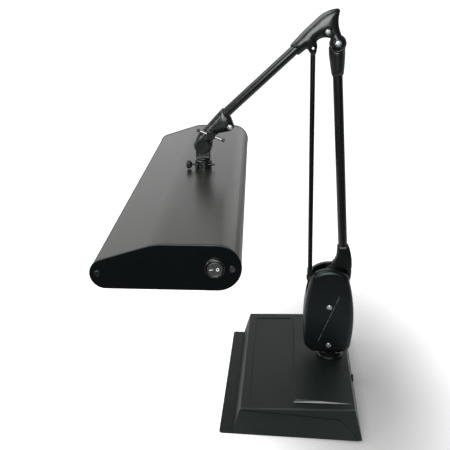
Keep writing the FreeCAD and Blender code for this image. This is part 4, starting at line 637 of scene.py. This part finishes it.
def outlineDepths(places):
    # a grid, seen from the side, of how far each cell lies inside the casting's outline
    margin = castingSkin["margin"]
    spots = np.rint(places).astype(int)
    low = spots.min(axis=0) - margin
    size = spots.max(axis=0) - low + margin + 1
    filled = np.zeros(size, bool)
    filled[tuple((spots - low).T)] = True
    outside = np.zeros(size, bool)
    outside[0, 0] = True
    spread = outside
    while spread.any():
        grown = outside.copy()
        grown[1:] |= outside[:-1]
        grown[:-1] |= outside[1:]
        grown[:, 1:] |= outside[:, :-1]
        grown[:, :-1] |= outside[:, 1:]
        grown &= ~filled
        spread = grown & ~outside
        outside = grown
    rim = np.argwhere(outside)
    depths = np.zeros(size)
    for column, row in np.argwhere(~outside):
        cells = math.sqrt(((rim - (column, row)) ** 2).sum(axis=1).min())
        depths[column, row] = cells * castingSkin["cell"]
    kernel = np.exp(-0.5 * (np.arange(-margin, margin + 1) / castingSkin["blur"]) ** 2)
    kernel /= kernel.sum()
    for _ in range(2):  # once along each side of the grid
        depths = np.apply_along_axis(np.convolve, 0, depths, kernel, "same").T
    return depths, low


def crowned(shape, crown, least):
    # brings the cheeks in towards the outline that the casting shows from the side
    places = np.array([(vert.co.x, vert.co.z) for vert in shape.verts]) / castingSkin["cell"]
    depths, low = outlineDepths(places)
    for vert, place in zip(shape.verts, places - low):
        column, row = int(place[0]), int(place[1])
        across, up = place[0] - column, place[1] - row
        here = ((1 - across) * (1 - up) * depths[column, row]
                + across * (1 - up) * depths[column + 1, row]
                + (1 - across) * up * depths[column, row + 1]
                + across * up * depths[column + 1, row + 1])
        inward = min(here / crown, 1)
        vert.co.y *= least + (1 - least) * math.sqrt(1 - (1 - inward) ** 2)


for pieceName, casting in castings.items():
    shape = evened(casting["node"])
    relaxed(shape, castingSkin["before"])
    crowned(shape, casting["crown"], casting["least"])
    relaxed(shape, castingSkin["after"])
    addPiece(pieceName, shape, casting["body"], casting.get("finish", castingSkin["finish"]),
             [casting["node"]], castingSkin["smooth"])
print("castings softened")

# the switch is turned with the shade, and its rocker is tipped on from there
switch = {"yaw": 2.72, "tip": 8.0, "steps": 72}


def onSwitch(tip=0, aside=0, out=0):
    # puts a shape that stands on Z on the switch, which faces the near end
    return (Matrix.Translation(joints["rocker_press"]["pos_m"])
            @ Matrix.Rotation(math.radians(switch["yaw"] + tip), 4, "Z")
            @ Matrix.Translation((aside, -out, 0)) @ Matrix.Rotation(math.radians(90), 4, "X"))


def onSwitchSpun(section, tip=0):
    # a ring or a dish, spun from its section in millimetres
    shape = spun([(radius * millimetre, height * millimetre) for radius, height in section],
                 switch["steps"])
    bmesh.ops.transform(shape, matrix=onSwitch(tip), verts=shape.verts)
    return shape


# marks on the rocker: a dash for on and a ring for off
marks = {"face": 0.0039, "proud": 0.00016,
         "dashAt": -0.0043, "dashLong": 0.0042, "dashWide": 0.0006, "dashRound": 0.3,
         "ringAt": 0.0029, "ringRadius": 0.0015, "ringWide": 0.00038, "ringSteps": 28}


def addMarks():
    dash = bmesh.new()
    bmesh.ops.create_cube(dash, size=1, matrix=Matrix.Diagonal(
        (marks["dashLong"], marks["dashWide"], marks["proud"], 1)))
    upright = [edge for edge in dash.edges
               if abs(edge.verts[0].co.z - edge.verts[1].co.z) > marks["proud"] / 2]
    bmesh.ops.bevel(dash, geom=upright, offset=marks["dashWide"] * marks["dashRound"],
                    offset_type="OFFSET", segments=roundSegments, profile=0.5,
                    affect="EDGES", material=-1)
    inner = marks["ringRadius"] - marks["ringWide"] / 2
    outer = marks["ringRadius"] + marks["ringWide"] / 2
    half = marks["proud"] / 2
    ring = spun([(inner, -half), (outer, -half), (outer, half), (inner, half), (inner, -half)],
                marks["ringSteps"])
    both = bmesh.new()
    joinInto(both, dash, onSwitch(switch["tip"], marks["dashAt"], marks["face"]))
    joinInto(both, ring, onSwitch(switch["tip"], marks["ringAt"], marks["face"]))
    addPiece("rockerMarks", both, "switch_rocker", "switchMark")


addMarks()
print("switch marked")

# the rocker sits in a thick rounded ring that stands proud of the end cap
bezel = {"smooth": 50,
         "section": [(9.4, 0.9), (9.4, 2.6), (9.6, 3.0), (9.95, 3.1), (10.5, 2.9), (11.2, 2.3),
                     (11.9, 1.4), (12.25, 0.6), (12.3, -0.85), (9.4, -0.85), (9.4, 0.9)]}
addPiece("switchBezel", onSwitchSpun(bezel["section"]), "head", "switchPlastic",
         smooth=bezel["smooth"])
print("bezel made")

# the rocker's own face, a shallow dish with a thin raised rim
pad = {"smooth": 35,
       "section": [(0, 0.4), (8.5, 0.4), (8.65, 0.6), (8.65, 3.7), (8.5, 4.2), (8.15, 4.4),
                   (7.8, 4.3), (7.5, 4.0), (4.0, 3.9), (0, 3.9)]}
addPiece("rockerPad", onSwitchSpun(pad["section"], switch["tip"]), "switch_rocker",
         "rockerPlastic", smooth=pad["smooth"])
print("rocker pad made")

# the shade's pinch screw has a fluted knob that narrows towards its foot: face and heel are
# shares of the knob's radius, at places along the screw counted from left and from inner
pinch = {"left": -0.025, "inner": -0.0167, "right": 0.018, "radius": 0.0063,
         "face": [(0, 0), (0.55, 0), (0.86, 0.0007), (1, 0.0022)],
         "heel": [(1, -0.0026), (0.66, -0.0008), (0.6, 0)],
         "shank": 0.0016, "endTaper": 0.6, "endLong": 0.0006,
         "flutes": 18, "stepsEach": 4, "flute": 0.9, "fluted": 0.95, "smooth": 35}


def pinchKnob():
    profile = [(pinch["radius"] * share, pinch["left"] + along)
               for share, along in pinch["face"]]
    profile += [(pinch["radius"] * share, pinch["inner"] + along)
                for share, along in pinch["heel"]]
    profile += [(pinch["shank"], pinch["inner"]),
                (pinch["shank"], pinch["right"] - pinch["endLong"]),
                (pinch["shank"] * pinch["endTaper"], pinch["right"]), (0, pinch["right"])]
    knob = spun(profile, pinch["flutes"] * pinch["stepsEach"])
    for vert in knob.verts:
        if math.hypot(vert.co.x, vert.co.y) > pinch["radius"] * pinch["fluted"]:
            wave = 0.5 + 0.5 * math.cos(math.atan2(vert.co.y, vert.co.x) * pinch["flutes"])
            keep = pinch["flute"] + (1 - pinch["flute"]) * wave
            vert.co.x *= keep
            vert.co.y *= keep
    turn = Vector(joints["pinch_turn"]["axis"]).to_track_quat("Z", "Y").to_matrix().to_4x4()
    bmesh.ops.transform(knob, matrix=Matrix.Translation(joints["pinch_turn"]["pos_m"]) @ turn,
                        verts=knob.verts)
    return knob


addPiece("pinchKnob", pinchKnob(), "pinch", "blackOxide", ["pinch_screw"],
         pinch["smooth"])
print("pinch knob made")

lamps = {
    "topLamp": {"size": 1.1, "power": 13.0, "place": (-0.75, -0.1, 1.5),
                "target": (-0.1, 0, 0.2)},
    "frontLamp": {"size": 0.75, "power": 12.0, "place": (-0.13, -1.0, 0.85),
                  "target": (-0.1, 0, 0.38)},
    "stripLamp": {"size": 0.22, "power": 2.0, "place": (-0.95, -0.85, 0.65),
                  "target": (0, 0, 0.35)},
    "sideLamp": {"size": 0.8, "power": 6.0, "place": (-1.6, 0.2, 0.7),
                 "target": (0, 0, 0.1)},
}
for lampName, lamp in lamps.items():
    lampData = bpy.data.lights.new(lampName, "AREA")
    lampData.shape = "DISK"
    lampData.size = lamp["size"]
    lampData.energy = lamp["power"]
    lampObject = bpy.data.objects.new(lampName, lampData)
    lampObject.location = lamp["place"]
    lampObject.visible_camera = False
    aim = Vector(lamp["target"]) - Vector(lamp["place"])
    lampObject.rotation_euler = aim.to_track_quat("-Z", "Y").to_euler()
    scene.collection.objects.link(lampObject)
print("lamps lit:", len(lamps))

# the floor is paper that is white where it is looked at, away from the lamp's own shadow
ground = {"size": 30, "rough": 0.9, "colour": 0.84, "seen": 0.47,
          "glowNear": 0.02, "glowFar": 1.0, "nearEnd": 0.0, "farEnd": 0.3,
          "shadow": (0.06, -0.06, 0), "stretch": (1, 0.42, 1),
          "mirrored": 0.03, "mirrorNear": 0.2, "mirrorFar": 0.42}


def grey(level):
    return (level, level, level)


def groundPaper():
    paper = Finish("paper", {"Roughness": ground["rough"]})
    away = paper.band(paper.distance(paper.place(ground["stretch"], ground["shadow"])),
                      ground["nearEnd"], ground["farEnd"])
    glow = ground["glowNear"] + (ground["glowFar"] - ground["glowNear"]) * away
    lookedAt = paper.ray("Is Camera Ray")
    # the ground in front of the lamp is dark where the lamp mirrors it
    toFront = paper.axes(paper.place((1, -1, 1)))[1]
    inFront = paper.band(toFront, ground["mirrorNear"], ground["mirrorFar"])
    unseen = paper.blend(paper.ray("Is Glossy Ray") * inFront,
                         grey(ground["colour"]), grey(ground["mirrored"]))
    paper.feed("Base Color", paper.blend(lookedAt, unseen, grey(ground["seen"])))
    shine = paper.node("ShaderNodeEmission", None, {"Strength": lookedAt * glow})
    both = paper.node("ShaderNodeAddShader", None,
                      {0: Wire(paper, paper.shader.outputs[0]), 1: shine})
    paper.plug(paper.tree.nodes["Material Output"].inputs["Surface"], both)
    return paper.material


floorShape = bmesh.new()
bmesh.ops.create_grid(floorShape, x_segments=1, y_segments=1, size=ground["size"])
floorMesh = bpy.data.meshes.new("floor")
floorShape.to_mesh(floorMesh)
floorShape.free()
floor = bpy.data.objects.new("floor", floorMesh)
scene.collection.objects.link(floor)
floorMesh.materials.append(groundPaper())

# the room is an even grey, white where it is looked at, and where the lamp mirrors it dark in
# front and bright behind
room = {"light": 0.3, "backdrop": 1.0, "front": 0.04, "back": 1.1, "fall": 0.52, "side": 0.16,
        "low": -0.1, "high": 0.6}


def fillRoom():
    world = bpy.data.worlds.new("studio")
    world.use_nodes = True
    scene.world = world
    air = Graph(world.node_tree)
    lookedAt = air.ray("Is Camera Ray")
    mirrored = air.ray("Is Glossy Ray")
    toX, toY, toZ = air.axes(air.node("ShaderNodeTexCoord", output="Generated"))
    behind = air.band(toY, room["low"], room["high"])
    gloss = room["front"] + behind * (room["back"] - room["fall"] * toZ + room["side"] * toX)
    unseen = mirrored * gloss + (1 - mirrored) * room["light"]
    background = air.tree.nodes["Background"].inputs
    air.plug(background["Strength"], lookedAt * room["backdrop"] + (1 - lookedAt) * unseen)
    air.plug(background["Color"], (1, 1, 1, 1))


fillRoom()
print("studio lit")
